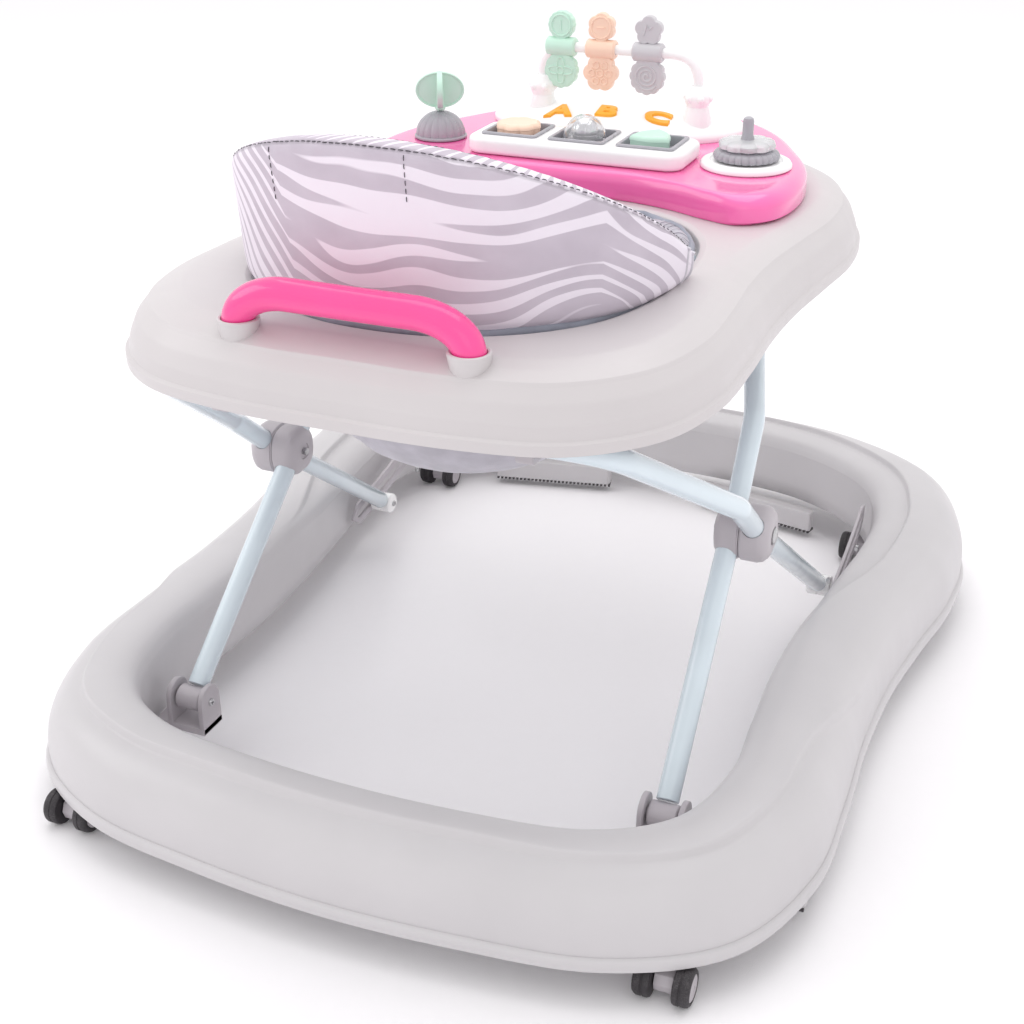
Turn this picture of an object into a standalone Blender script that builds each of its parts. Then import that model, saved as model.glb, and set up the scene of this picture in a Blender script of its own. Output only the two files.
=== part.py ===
"""A folding baby walker: a hollow base ring on four swivel casters, two pairs of
crossed leg tubes, a tray ring with a padded seat, a push handle and a toy deck.

Metres, +Z up. The origin is on the floor, below the middle of the base ring.
The baby faces -Y, the push handle is at +Y, and the baby's left is +X.
"""

import math

import bmesh
import bpy
from mathutils import Vector

SIDES = (("left", 1), ("right", -1))
RUN_GAP = 0.0003          # gap between faces that touch

# Leg tubes, as (y, z) in the plane of each pair
TUBE_R = 0.00825
REAR_FOOT = (0.2505, 0.0555)   # lower hinge of the rear legs
HUB = (0.085, 0.201)           # scissor pivot
FRONT_SHOE = (-0.127, 0.049)   # sliding end of the front legs at rest
TRAY_PIVOT = (0.291, 0.344)    # upper hinge of the front legs
RACK_ROD = (2 * HUB[0] - TRAY_PIVOT[0], TRAY_PIVOT[1])
REAR_LEG_X = 0.1870            # inboard tube at the hub
FRONT_LEG_X = 0.2065           # outboard tube at the hub
REAR_FOOT_X = 0.1935
FRONT_SHOE_X = 0.2180
REAR_BEND = (0.033, 0.270)
FRONT_BEND = (0.143, 0.248)
ROD_CORNER_X = {"rear": 0.140, "front": 0.160}
ROD_END_X = {"rear": 0.1120, "front": 0.1320}
BEND_R = 0.014
LEG_START = 0.0009             # gap between a leg's lower end and its foot
PIN_R = 0.003
FOOT_R = 0.0095                # barrel at the lower end of each leg
FOOT_HALF = 0.0105
HUB_R = 0.0205
HUB_SPAN_X = {"rear": (0.1765, 0.1966), "front": (0.1971, 0.2190)}
FOLD_DEG = 31.0                # turn of the rear legs when the walker is flat
LIFT_DEG = 4.0                 # turn the other way, to the highest setting
UPPER_ANGLE = math.atan2(TRAY_PIVOT[1] - HUB[1], TRAY_PIVOT[0] - HUB[0])

# Leg brackets, slide guides and height racks
BRACKET_HALF_Y = 0.013
BRACKET_BOTTOM_Z = REAR_FOOT[1] - 0.0245
BRACKET_SHELF_X = 0.2225
# Half of the U-shaped section, as (x, z) from the middle of its bottom
BRACKET_HALF = ((0.0165, 0.0), (0.0165, 0.0350), (0.0120, 0.0350), (0.0120, 0.0060))
BRACKET_FLOOR = 0.006
GUIDE_X = 0.2315
GUIDE_THICK = 0.003
GUIDE_HALF = 0.0115
SLOT_PLAY = 0.0012
SADDLE_X = 0.1085
SADDLE_HALF = (0.006, 0.0105)
RACK_X = 0.090
RACK_HALF_X = 0.002
RACK_WALL = 0.005

# Base ring
RIM_Z = 0.0285
GRIP_BOTTOM_Z = 0.006
FRONT_GRIP = ((0.052, -0.006), (0.177, 0.006))   # (along, across) at each corner
FRONT_GRIP_Y = -0.344
FRONT_GRIP_TURN = math.radians(12)
REAR_GRIP_X = (0.284, 0.298)
REAR_GRIP_Y = (0.215, 0.255)
BASE_OUTER = (
    (0, 0.407), (0.100, 0.401), (0.195, 0.385), (0.270, 0.338), (0.304, 0.255),
    (0.307, 0.170), (0.304, 0.085), (0.307, 0.000), (0.318, -0.080), (0.331, -0.160),
    (0.329, -0.240), (0.293, -0.322), (0.207, -0.379), (0.105, -0.402), (0, -0.407),
)
BASE_INNER = (
    (0, 0.342), (0.085, 0.338), (0.160, 0.326), (0.212, 0.290), (0.231, 0.225),
    (0.229, 0.160), (0.226, 0.085), (0.230, 0.010), (0.238, -0.070), (0.247, -0.150),
    (0.246, -0.215), (0.222, -0.280), (0.158, -0.326), (0.080, -0.343), (0, -0.346),
)
# (edge it is measured from, distance from it, height)
BASE_SECTION = (
    ("outer", 0.000, RIM_Z), ("outer", 0.000, 0.036), ("outer", 0.003, 0.038),
    ("outer", 0.003, 0.055), ("outer", 0.008, 0.074), ("outer", 0.017, 0.087),
    ("outer", 0.024, 0.090), ("inner", 0.030, 0.098), ("inner", 0.012, 0.0965),
    ("inner", 0.003, 0.090), ("inner", 0.000, 0.080), ("inner", 0.000, RIM_Z + 0.001),
    ("inner", 0.003, RIM_Z + 0.001), ("inner", 0.0035, 0.079), ("inner", 0.013, 0.093),
    ("inner", 0.030, 0.0945), ("outer", 0.024, 0.0865), ("outer", 0.011, 0.073),
    ("outer", 0.006, 0.055), ("outer", 0.003, RIM_Z),
)

# Tray ring
TRAY_RIM_Z = 0.355
TRAY_TOP_Z = 0.402
TRAY_WALL = 0.003
TRAY_OUTER = (
    (0, 0.345), (0.075, 0.343), (0.143, 0.328), (0.190, 0.285), (0.209, 0.225),
    (0.211, 0.160), (0.209, 0.095), (0.211, 0.035), (0.218, -0.030), (0.224, -0.095),
    (0.217, -0.160), (0.190, -0.222), (0.140, -0.272), (0.072, -0.303), (0, -0.312),
)
SEAT_OPENING = (
    (0, 0.287), (0.045, 0.281), (0.090, 0.258), (0.124, 0.222), (0.142, 0.175),
    (0.146, 0.130), (0.145, 0.085), (0.137, 0.040), (0.118, 0.005), (0.095, -0.015),
    (0.072, -0.025), (0.052, -0.030), (0.035, -0.032), (0.017, -0.033), (0, -0.033),
)
TRAY_SECTION = (
    ("outer", 0.000, TRAY_RIM_Z), ("outer", 0.000, 0.362), ("outer", 0.003, 0.364),
    ("outer", 0.005, 0.374), ("outer", 0.012, 0.388), ("outer", 0.022, 0.398),
    ("outer", 0.034, TRAY_TOP_Z), ("inner", 0.006, TRAY_TOP_Z),
    ("inner", 0.001, TRAY_TOP_Z - 0.002), ("inner", 0.000, 0.388),
    ("inner", 0.003, 0.388), ("inner", 0.004, TRAY_TOP_Z - TRAY_WALL),
    ("outer", 0.034, TRAY_TOP_Z - TRAY_WALL), ("outer", 0.023, 0.395),
    ("outer", 0.015, 0.386), ("outer", 0.008, 0.372), ("outer", 0.003, TRAY_RIM_Z),
)
UNDER_TRAY_Z = TRAY_TOP_Z - TRAY_WALL - RUN_GAP

# Casters
SWIVELS = (
    ("rear_left", 0.231, 0.330), ("rear_right", -0.231, 0.330),
    ("front_left", 0.228, -0.308), ("front_right", -0.228, -0.308),
)
TRAIL = 0.030
WHEEL_R = 0.0135
AXLE_R = 0.0025
STEM_R = 0.004
FORK_HALF = 0.0065        # half the width of the fork between the twin wheels
POST_TOP_Z = 0.078
STEM_SPAN_Z = (0.0255, 0.0590)
SOCKET_END_Z = 0.0605

# Push handle
HANDLE_R = 0.0106
HANDLE_X = 0.079
HANDLE_Y = 0.314
HANDLE_Z = 0.426
HANDLE_CORNER = 0.014
SOCKET_TOP_Z = 0.4045

# Seat
SEAT_Y = 0.127
SEAT_RX = 0.139
SEAT_RY = 0.153
SEAT_TOP_Z = 0.511
SEAT_WING_Z = 0.420
SEAT_FLARE = 0.85         # outward lean of the seat back, per metre of height
SEAT_PAD = 0.028
SEAT_LOW_Z = TRAY_TOP_Z - 0.012
SEAT_HALF_TURN = math.radians(122)
SEAT_FALL = 0.76          # how fast the top edge falls towards the wings
BUCKET_WALL = 0.004
# (share of the seat's outline, height)
BUCKET_LEVELS = ((1.0, 0.3860), (0.96, 0.345), (0.85, 0.300), (0.66, 0.274), (0.36, 0.2600))
LEG_HOLE = (0.062, 0.048)
LEG_HOLE_R = 0.040

# Toy deck
DECK_Z = TRAY_TOP_Z + RUN_GAP
DECK_TOP_Z = 0.424
DECK_OUTLINE = (
    (0, -0.043), (0.050, -0.042), (0.090, -0.032), (0.125, -0.016), (0.153, -0.009),
    (0.176, -0.030), (0.183, -0.075), (0.176, -0.130), (0.155, -0.180), (0.130, -0.225),
    (0.095, -0.262), (0.050, -0.280), (0, -0.286),
)
ON_DECK_Z = DECK_TOP_Z + RUN_GAP
KEY_Y = -0.092
KEY_PITCH = 0.058
KEY_WELL = 0.038
KEY_BOTTOM_Z = 0.4315
BALL_Z = 0.4425
BALL_R = 0.0125
CONSOLE = ((-0.092, -0.122), (0.092, -0.056))
CONSOLE_TOP_Z = 0.438
WELL_FLOOR_Z = 0.428
LOBE_X = 0.133
LOBE_Y = -0.100
DOME_Y = -0.200
DOME_RX = 0.116
DOME_RY = 0.070
# (share of the dome panel's outline, height)
DOME_LEVELS = ((1.0, ON_DECK_Z), (1.0, 0.428), (0.93, 0.434), (0.75, 0.441), (0.4, 0.446))
DOME_TOP_Z = 0.447
BAR_SOCKET_HALF = (0.010, 0.009)
BAR_SOCKET_Z = 0.456
BAR_Y = -0.175
BAR_Z = 0.492
BAR_X = 0.074
BAR_R = 0.0042
PADDLES = (("mint", 0.0525), ("peach", 0.0165), ("grey", -0.025))
PADDLE_HALF_Y = 0.0040
BARREL_R = 0.0078
BARREL_HALF = 0.0130
# Outline of a paddle, as (x, z) from its axis: a small upper lobe and a large lower one
PADDLE_OUTLINE = (
    (-0.0115, 0.012), (-0.0125, 0.020), (-0.0075, 0.0275), (0, 0.0295),
    (0.0075, 0.0275), (0.0125, 0.020), (0.0115, 0.012),
    (0.0115, -0.012), (0.0155, -0.020), (0.0125, -0.031), (0, -0.0350),
    (-0.0125, -0.031), (-0.0155, -0.020), (-0.0115, -0.012),
)


def material(name, colour, roughness=0.45, metallic=0.0, alpha=1.0):
    """Return a new Principled material."""
    made = bpy.data.materials.new(name)
    made.use_nodes = True
    shader = made.node_tree.nodes["Principled BSDF"]
    shader.inputs["Base Color"].default_value = (*colour, 1.0)
    shader.inputs["Roughness"].default_value = roughness
    shader.inputs["Metallic"].default_value = metallic
    shader.inputs["Alpha"].default_value = alpha
    made.diffuse_color = (*colour, alpha)
    return made


def add_mesh(name, points, faces, paint, origin=(0, 0, 0)):
    """Add a smooth-shaded mesh object whose points are given in world space."""
    origin = Vector(origin)
    mesh = bpy.data.meshes.new(name)
    mesh.from_pydata([Vector(p) - origin for p in points], [], faces)
    shape = bmesh.new()
    shape.from_mesh(mesh)
    bmesh.ops.recalc_face_normals(shape, faces=shape.faces)
    shape.to_mesh(mesh)
    shape.free()
    mesh.shade_smooth()
    mesh.set_sharp_from_angle(angle=math.radians(35))
    mesh.materials.append(paint)
    made = bpy.data.objects.new(name, mesh)
    made.location = origin
    bpy.context.collection.objects.link(made)
    return made


def loft(name, loops, paint, origin=(0, 0, 0), ring=False):
    """Skin a row of loops; a loop of one point closes to a pole.

    With ring, the last loop joins the first. Otherwise the ends are capped.
    """
    points, starts = [], []
    for loop in loops:
        starts.append(len(points))
        points.extend(loop)
    faces = []
    pairs = list(zip(range(len(loops)), range(1, len(loops))))
    if ring:
        pairs.append((len(loops) - 1, 0))
    for a, b in pairs:
        count = max(len(loops[a]), len(loops[b]))
        for k in range(count):
            corners = []
            for row, step in ((a, k), (a, k + 1), (b, k + 1), (b, k)):
                corner = starts[row] + step % len(loops[row])
                if corner not in corners:
                    corners.append(corner)
            faces.append(corners)
    if not ring:
        for row in (0, len(loops) - 1):
            if len(loops[row]) > 1:
                faces.append([starts[row] + k for k in range(len(loops[row]))])
    return add_mesh(name, points, faces, paint, origin)


def circle(radius, sides, start=-math.pi / 2):
    """Points of a regular polygon, the first one straight down."""
    step = 2 * math.pi / sides
    return [
        (radius * math.cos(start + k * step), radius * math.sin(start + k * step))
        for k in range(sides)
    ]


def turned(name, profile, axis, centre, paint, sides=16, origin=None):
    """Turn a (radius, distance along the axis) profile about an X or Z axis."""
    cx, cy, cz = centre
    loops = []
    for radius, along in profile:
        ring = circle(radius, sides) if radius > 0 else [(0, 0)]
        if axis == "X":
            loops.append([(cx + along, cy + a, cz + b) for a, b in ring])
        else:
            loops.append([(cx + a, cy + b, cz + along) for a, b in ring])
    return loft(name, loops, paint, centre if origin is None else origin)


def plate(name, outline, span, axis, paint, origin=(0, 0, 0)):
    """Extrude an outline over span = (low, high) along X or Z."""
    if axis == "X":
        loops = [[(x, a, b) for a, b in outline] for x in span]
    else:
        loops = [[(a, b, z) for a, b in outline] for z in span]
    return loft(name, loops, paint, origin)


def rounded_box(low, high, corner, steps=3):
    """Outline of a rectangle with round corners."""
    points = []
    quarter = math.pi / 2
    for turn, (sx, sy) in enumerate(((1, 1), (-1, 1), (-1, -1), (1, -1))):
        cx = high[0] - corner if sx > 0 else low[0] + corner
        cy = high[1] - corner if sy > 0 else low[1] + corner
        for k in range(steps + 1):
            angle = (turn + k / steps) * quarter
            points.append((cx + corner * math.cos(angle), cy + corner * math.sin(angle)))
    return points


def rounded_path(points, radius, steps=4):
    """Replace each inner corner of a path by an arc of straight pieces."""
    corners = [Vector(p) for p in points]
    path = [corners[0]]
    for before, here, after in zip(corners, corners[1:], corners[2:]):
        back, ahead = (before - here).normalized(), (after - here).normalized()
        half = back.angle(ahead) / 2
        share = 0.8 if before is corners[0] else 0.45
        reach = min(radius / math.tan(half), share * (before - here).length)
        for k in range(steps + 1):
            t = k / steps
            path.append(
                here + back * reach * (1 - t) ** 2 + ahead * reach * t ** 2
            )
    path.append(corners[-1])
    return path


def tube(name, path, radius, paint, sides=12, origin=(0, 0, 0)):
    """Sweep a polygon along a path, with mitred corners and flat ends."""
    path = [Vector(p) for p in path]
    tangents = []
    for k in range(len(path)):
        ahead = path[min(k + 1, len(path) - 1)] - path[max(k - 1, 0)]
        tangents.append(ahead.normalized())
    across = tangents[0].orthogonal().normalized()
    loops = []
    for point, tangent in zip(path, tangents):
        across = (across - tangent * across.dot(tangent)).normalized()
        other = tangent.cross(across)
        loops.append([point + across * a + other * b for a, b in circle(radius, sides)])
    return loft(name, loops, paint, origin)


def mirrored(half):
    """Close an outline given from the rear middle to the front middle."""
    return list(half) + [(-x, y) for x, y in reversed(half[1:-1])]


def smooth_outline(points, per_span=2):
    """Points of the closed spline through the given points."""
    found = []
    count = len(points)
    for k in range(count):
        before, here, after, later = (Vector(points[(k + n) % count]) for n in (-1, 0, 1, 2))
        for step in range(per_span):
            t = step / per_span
            found.append(
                0.5 * (
                    2 * here + (after - before) * t
                    + (2 * before - 5 * here + 4 * after - later) * t ** 2
                    + (3 * here - before - 3 * after + later) * t ** 3
                )
            )
    return found


def ring_shell(name, outer, inner, section, paint):
    """Sweep a wall section round the ring between two outlines."""
    loops = []
    for far, near in zip(smooth_outline(mirrored(outer)), smooth_outline(mirrored(inner))):
        across = (near - far).normalized()
        loop = []
        for edge, distance, height in section:
            at = far + across * distance if edge == "outer" else near - across * distance
            loop.append((at.x, at.y, height))
        loops.append(loop)
    return loft(name, loops, paint, ring=True)


def boolean(target, other, operation):
    """Cut other from target, or add it, and keep other as a hidden helper."""
    other.hide_render = True
    other.display_type = "WIRE"
    change = target.modifiers.new(other.name, "BOOLEAN")
    change.operation = operation
    change.object = other


def bore(target, name, radius, span, centre, sides=12):
    """Cut a round hole along X that a turning pin of this radius clears."""
    wide = (radius + RUN_GAP) / math.cos(math.pi / sides)
    profile = [(wide, span[0] - centre[0]), (wide, span[1] - centre[0])]
    boolean(target, turned(name, profile, "X", centre, None, sides), "DIFFERENCE")


def turned_point(point, centre, degrees):
    """Turn a (y, z) point about a centre, positive as +X turns it."""
    angle = math.radians(degrees)
    y, z = point[0] - centre[0], point[1] - centre[1]
    return (
        centre[0] + y * math.cos(angle) - z * math.sin(angle),
        centre[1] + y * math.sin(angle) + z * math.cos(angle),
    )


def shoe_at(fold):
    """Where the front leg's sliding end is when the rear legs have turned by fold."""
    hub = turned_point(HUB, REAR_FOOT, fold)
    arm = turned_point((FRONT_SHOE[0] - HUB[0], FRONT_SHOE[1] - HUB[1]), (0, 0), -fold)
    return hub[0] + arm[0], hub[1] + arm[1]


def band(line, half_width):
    """Outline of a strip of even width with pointed round ends along a line of (y, z) points."""
    line = [Vector(p) for p in line]
    sides = ([], [])
    for k, point in enumerate(line):
        ahead = (line[min(k + 1, len(line) - 1)] - line[max(k - 1, 0)]).normalized()
        across = Vector((-ahead.y, ahead.x)) * half_width
        if k == 0:
            sides[0].append(point - ahead * half_width)
        sides[0].append(point + across)
        sides[1].append(point - across)
        if k == len(line) - 1:
            sides[0].append(point + ahead * half_width)
    return sides[0] + sides[1][::-1]


def build_bracket(side, sign):
    """U-shaped bracket that holds a rear leg's foot, with a shelf to the ring's wall."""
    name = f"leg_bracket_{side}"
    foot_y, foot_z = REAR_FOOT
    x = sign * REAR_FOOT_X
    ears = list(BRACKET_HALF) + [(-a, b) for a, b in reversed(BRACKET_HALF)]
    ends = (foot_y - BRACKET_HALF_Y, foot_y + BRACKET_HALF_Y)
    loops = [[(x + a, y, BRACKET_BOTTOM_Z + b) for a, b in ears] for y in ends]
    bracket = loft(name, loops, HUB_GREY, (x, foot_y, foot_z))
    bore(bracket, f"{name}_bore", PIN_R, (x - 0.03, x + 0.03), (x, foot_y, foot_z))
    shelf = sorted((x + sign * (BRACKET_HALF[0][0] - 0.0005), sign * BRACKET_SHELF_X))
    outline = rounded_box((shelf[0], ends[0]), (shelf[1], ends[1]), 0.001, 1)
    span = (BRACKET_BOTTOM_Z, BRACKET_BOTTOM_Z + BRACKET_FLOOR)
    boolean(bracket, plate(f"{name}_shelf", outline, span, "Z", None), "UNION")


def build_guide(side, sign):
    """Slotted plate in which a front leg's shoe pin slides as the walker folds."""
    name = f"slide_guide_{side}"
    steps = 8
    travel = FOLD_DEG + LIFT_DEG + 2
    line = [shoe_at(FOLD_DEG + 1 - k * travel / steps) for k in range(steps + 1)]
    span = sorted((sign * GUIDE_X, sign * (GUIDE_X + GUIDE_THICK)))
    guide = plate(name, band(line, GUIDE_HALF), span, "X", HUB_GREY)
    through = (span[0] - 0.01, span[1] + 0.01)
    slot = plate(f"{name}_slot", band(line, PIN_R + SLOT_PLAY), through, "X", None)
    boolean(guide, slot, "DIFFERENCE")


def build_grips(side, sign):
    """Rubber blocks under the rim that stop the walker at a step."""
    cos, sin = math.cos(FRONT_GRIP_TURN), math.sin(FRONT_GRIP_TURN)
    span = (GRIP_BOTTOM_Z, RIM_Z - RUN_GAP)
    front = [
        (sign * along * cos, FRONT_GRIP_Y + along * sin + across)
        for along, across in rounded_box(*FRONT_GRIP, 0.002, 1)
    ]
    plate(f"front_grip_{side}", front, span, "Z", RUBBER)
    low_x, high_x = sorted(sign * edge for edge in REAR_GRIP_X)
    rear = rounded_box((low_x, REAR_GRIP_Y[0]), (high_x, REAR_GRIP_Y[1]), 0.004, 1)
    plate(f"rear_grip_{side}", rear, span, "Z", RUBBER)


def build_base():
    """Base ring, its leg brackets and slide guides, and the rubber grips."""
    ring_shell("base_shell", BASE_OUTER, BASE_INNER, BASE_SECTION, BASE_GREY)
    for side, sign in SIDES:
        build_bracket(side, sign)
        build_guide(side, sign)
        build_grips(side, sign)


def build_casters():
    """Four twin-wheel swivel casters and the posts that they turn in."""
    for name, x, y in SWIVELS:
        socket = (STEM_R + RUN_GAP) / math.cos(math.pi / 12)
        post = [
            (socket, RIM_Z), (0.011, RIM_Z), (0.012, RIM_Z + 0.0055),
            (0.012, POST_TOP_Z - 0.006), (0.009, POST_TOP_Z), (0, POST_TOP_Z),
        ]
        hole = [(0, SOCKET_END_Z), (socket, SOCKET_END_Z)]
        turned(f"caster_post_{name}", hole + post, "Z", (x, y, 0), HUB_GREY, 12)

        arm = [
            (y - 0.0070, RIM_Z - 0.0010), (y - 0.0070, RIM_Z - 0.0050), (y + 0.012, 0.0090),
            (y + TRAIL - 0.004, 0.0070), (y + TRAIL + 0.004, 0.0070),
            (y + TRAIL + 0.006, 0.0135), (y + TRAIL + 0.003, 0.0200), (y + 0.012, RIM_Z - 0.0010),
        ]
        origin = (x, y, WHEEL_R)
        fork = plate(f"caster_fork_{name}", arm, (x - FORK_HALF, x + FORK_HALF), "X", HUB_GREY, origin)
        low, high = STEM_SPAN_Z
        stem = [(0, low), (STEM_R, low), (STEM_R, high), (0, high)]
        boolean(
            fork, turned(f"caster_stem_{name}", stem, "Z", (x, y, 0), None, 12), "UNION"
        )
        axle = (x, y + TRAIL, WHEEL_R)
        bore(fork, f"caster_bore_{name}", AXLE_R, (x - 0.01, x + 0.01), axle)

        half = [(AXLE_R, FORK_HALF + 0.0008), (WHEEL_R, FORK_HALF + 0.0012),
                (WHEEL_R, 0.0180), (0.0115, 0.0195), (0, 0.0195)]
        profile = [(r, -a) for r, a in reversed(half)] + half
        turned(f"wheel_pair_{name}", profile, "X", axle, TYRE_BLACK, 16)


def leg_path(foot_x, foot, hub_x, bend, rod, corner_x, end_x, sign):
    """A leg's centre line from beside its foot to the end of its half of the top rod."""
    start = Vector((sign * foot_x, *foot))
    hub = Vector((sign * hub_x, *HUB))
    start = start + (hub - start).normalized() * (FOOT_R + LEG_START)
    upper = [
        hub, (sign * (hub_x - 0.001), *bend), (sign * corner_x, *rod), (sign * end_x, *rod)
    ]
    return [start] + rounded_path(upper, BEND_R, 3)


def build_legs():
    """The rear and front leg pairs, their feet, their top rods and the hubs."""
    pairs = (
        ("rear", REAR_FOOT_X, REAR_FOOT, REAR_LEG_X, REAR_BEND, RACK_ROD),
        ("front", FRONT_SHOE_X, FRONT_SHOE, FRONT_LEG_X, FRONT_BEND, TRAY_PIVOT),
    )
    for pair, foot_x, foot, hub_x, bend, rod in pairs:
        pivot = REAR_FOOT if pair == "rear" else HUB
        reach = ROD_END_X[pair] - RUN_GAP
        for side, sign in SIDES:
            origin = (sign * foot_x if pair == "rear" else sign * hub_x, *pivot)
            path = leg_path(
                foot_x, foot, hub_x, bend, rod, ROD_CORNER_X[pair], ROD_END_X[pair], sign
            )
            leg = tube(f"{pair}_leg_{side}", path, TUBE_R, TUBE_BLUE, 10, origin)
            span = (sign * hub_x - 0.02, sign * hub_x + 0.02)
            bore(leg, f"{pair}_leg_{side}_bore", PIN_R, span, (sign * hub_x, *HUB))

            low, high = HUB_SPAN_X[pair]
            shape = [(HUB_R - 0.004, low), (HUB_R, low + 0.004), (HUB_R, high)]
            if pair == "front":
                shape = [(HUB_R, low), (HUB_R, high - 0.004), (HUB_R - 0.004, high)]
            profile = [(0, low)] + shape + [(0, high)]
            profile = [(r, sign * a) for r, a in profile]
            clamp_origin = (sign * hub_x, *HUB)
            clamp = turned(
                f"{pair}_hub_{side}", profile, "X", (0, *HUB), HUB_GREY, 16, clamp_origin
            )
            sleeve = tube(f"{pair}_hub_{side}_sleeve", path[:3], TUBE_R + RUN_GAP, None, 10)
            boolean(clamp, sleeve, "DIFFERENCE")
            bore(clamp, f"{pair}_hub_{side}_bore", PIN_R, (span[0] - 0.02, span[1] + 0.02),
                 (sign * hub_x, *HUB))
        rod_profile = [(0, -reach), (TUBE_R, -reach), (TUBE_R, reach), (0, reach)]
        turned(f"{pair}_rod", rod_profile, "X", (0, *rod), TUBE_BLUE, 12)

    for side, sign in SIDES:
        pin = [(0, 0.1740), (PIN_R, 0.1740), (PIN_R, 0.2193), (0.0065, 0.2193),
               (0.0060, 0.2208), (0.0035, 0.2215), (0, 0.2215)]
        turned(f"hub_pin_{side}", [(r, sign * a) for r, a in pin], "X", (0, *HUB), STEEL, 12,
               (sign * FRONT_LEG_X, *HUB))
        half = FOOT_HALF
        trunnion = [(0, -0.0160), (PIN_R, -0.0160), (PIN_R, -half), (FOOT_R, -half),
                    (FOOT_R, half), (PIN_R, half), (PIN_R, 0.0160), (0, 0.0160)]
        turned(f"rear_foot_{side}", trunnion, "X", (sign * REAR_FOOT_X, *REAR_FOOT),
               HUB_GREY, 14)
        shoe = [(0, -half), (FOOT_R, -half), (FOOT_R, half), (PIN_R, half),
                (PIN_R, GUIDE_X + 0.0045 - FRONT_SHOE_X), (0, GUIDE_X + 0.0045 - FRONT_SHOE_X)]
        turned(f"slide_shoe_{side}", [(r, sign * a) for r, a in shoe], "X",
               (sign * FRONT_SHOE_X, *FRONT_SHOE), CAP_WHITE, 14)


def rod_reach(turn):
    """Where the rear legs' top rod is, front to back, when they have turned by this much."""
    arm = 2 * (TRAY_PIVOT[0] - HUB[0]) / math.cos(UPPER_ANGLE)
    return TRAY_PIVOT[0] - arm * math.cos(UPPER_ANGLE - math.radians(turn))


def build_saddle(side, sign):
    """Clamp under the tray in which the front legs' top rod turns."""
    name = f"rod_saddle_{side}"
    x = sign * SADDLE_X
    half_x, half_y = SADDLE_HALF
    outline = rounded_box(
        (TRAY_PIVOT[0] - half_y, TRAY_PIVOT[1] - half_y - 0.001),
        (TRAY_PIVOT[0] + half_y, UNDER_TRAY_Z), 0.002, 1,
    )
    clamp = plate(name, outline, (x - half_x, x + half_x), "X", HUB_GREY)
    bore(clamp, f"{name}_bore", TUBE_R, (x - 0.02, x + 0.02), (x, *TRAY_PIVOT), 16)


def build_rack(side, sign):
    """Plate under the tray along whose slot the rear legs' top rod slides."""
    name = f"height_rack_{side}"
    x = sign * RACK_X
    rod_z = RACK_ROD[1]
    low_y = rod_reach(FOLD_DEG) - TUBE_R - 0.001
    high_y = rod_reach(-LIFT_DEG) + TUBE_R + 0.001
    outline = rounded_box(
        (low_y - RACK_WALL, rod_z - 0.0150), (high_y + RACK_WALL, UNDER_TRAY_Z), 0.004, 2
    )
    rack = plate(name, outline, (x - RACK_HALF_X, x + RACK_HALF_X), "X", HUB_GREY)
    play = TUBE_R + 0.0006
    slot = rounded_box((low_y, rod_z - play), (high_y, rod_z + play), TUBE_R, 3)
    boolean(rack, plate(f"{name}_slot", slot, (x - 0.01, x + 0.01), "X", None), "DIFFERENCE")


def build_tray():
    """Tray ring with its handle sockets, push handle, rod saddles and height racks."""
    tray = ring_shell("tray_shell", TRAY_OUTER, SEAT_OPENING, TRAY_SECTION, TRAY_WHITE)
    low = TRAY_TOP_Z - 0.0055
    cone = [(0, low), (0.0205, low), (0.0185, SOCKET_TOP_Z - 0.003),
            (0.0170, SOCKET_TOP_Z), (0, SOCKET_TOP_Z)]
    for side, sign in SIDES:
        base = (sign * HANDLE_X, HANDLE_Y, 0)
        boolean(tray, turned(f"handle_socket_{side}", cone, "Z", base, None, 20), "UNION")
        build_saddle(side, sign)
        build_rack(side, sign)

    foot = SOCKET_TOP_Z + RUN_GAP
    corners = [
        (HANDLE_X, HANDLE_Y, foot), (HANDLE_X, HANDLE_Y, HANDLE_Z),
        (-HANDLE_X, HANDLE_Y, HANDLE_Z), (-HANDLE_X, HANDLE_Y, foot),
    ]
    tube("push_handle", rounded_path(corners, HANDLE_CORNER), HANDLE_R, PINK, 12)


def seat_loop(angle):
    """Section of the padded seat back at a plan angle from the rear middle."""
    top = SEAT_WING_Z + (SEAT_TOP_Z - SEAT_WING_Z) * math.cos(SEAT_FALL * angle)
    low = SEAT_LOW_Z
    section = []
    for inset, height in (
        (0.002, low), (0, low + 0.004), (0, top - 0.008), (0.005, top - 0.001),
        (SEAT_PAD / 2, top), (SEAT_PAD - 0.005, top - 0.001), (SEAT_PAD, top - 0.008),
        (SEAT_PAD, low + 0.004), (SEAT_PAD - 0.002, low),
    ):
        flare = 1 + SEAT_FLARE * (height - low)
        section.append((
            (SEAT_RX * flare - inset) * math.sin(angle),
            SEAT_Y + (SEAT_RY * flare - inset) * math.cos(angle), height,
        ))
    return section


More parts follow.
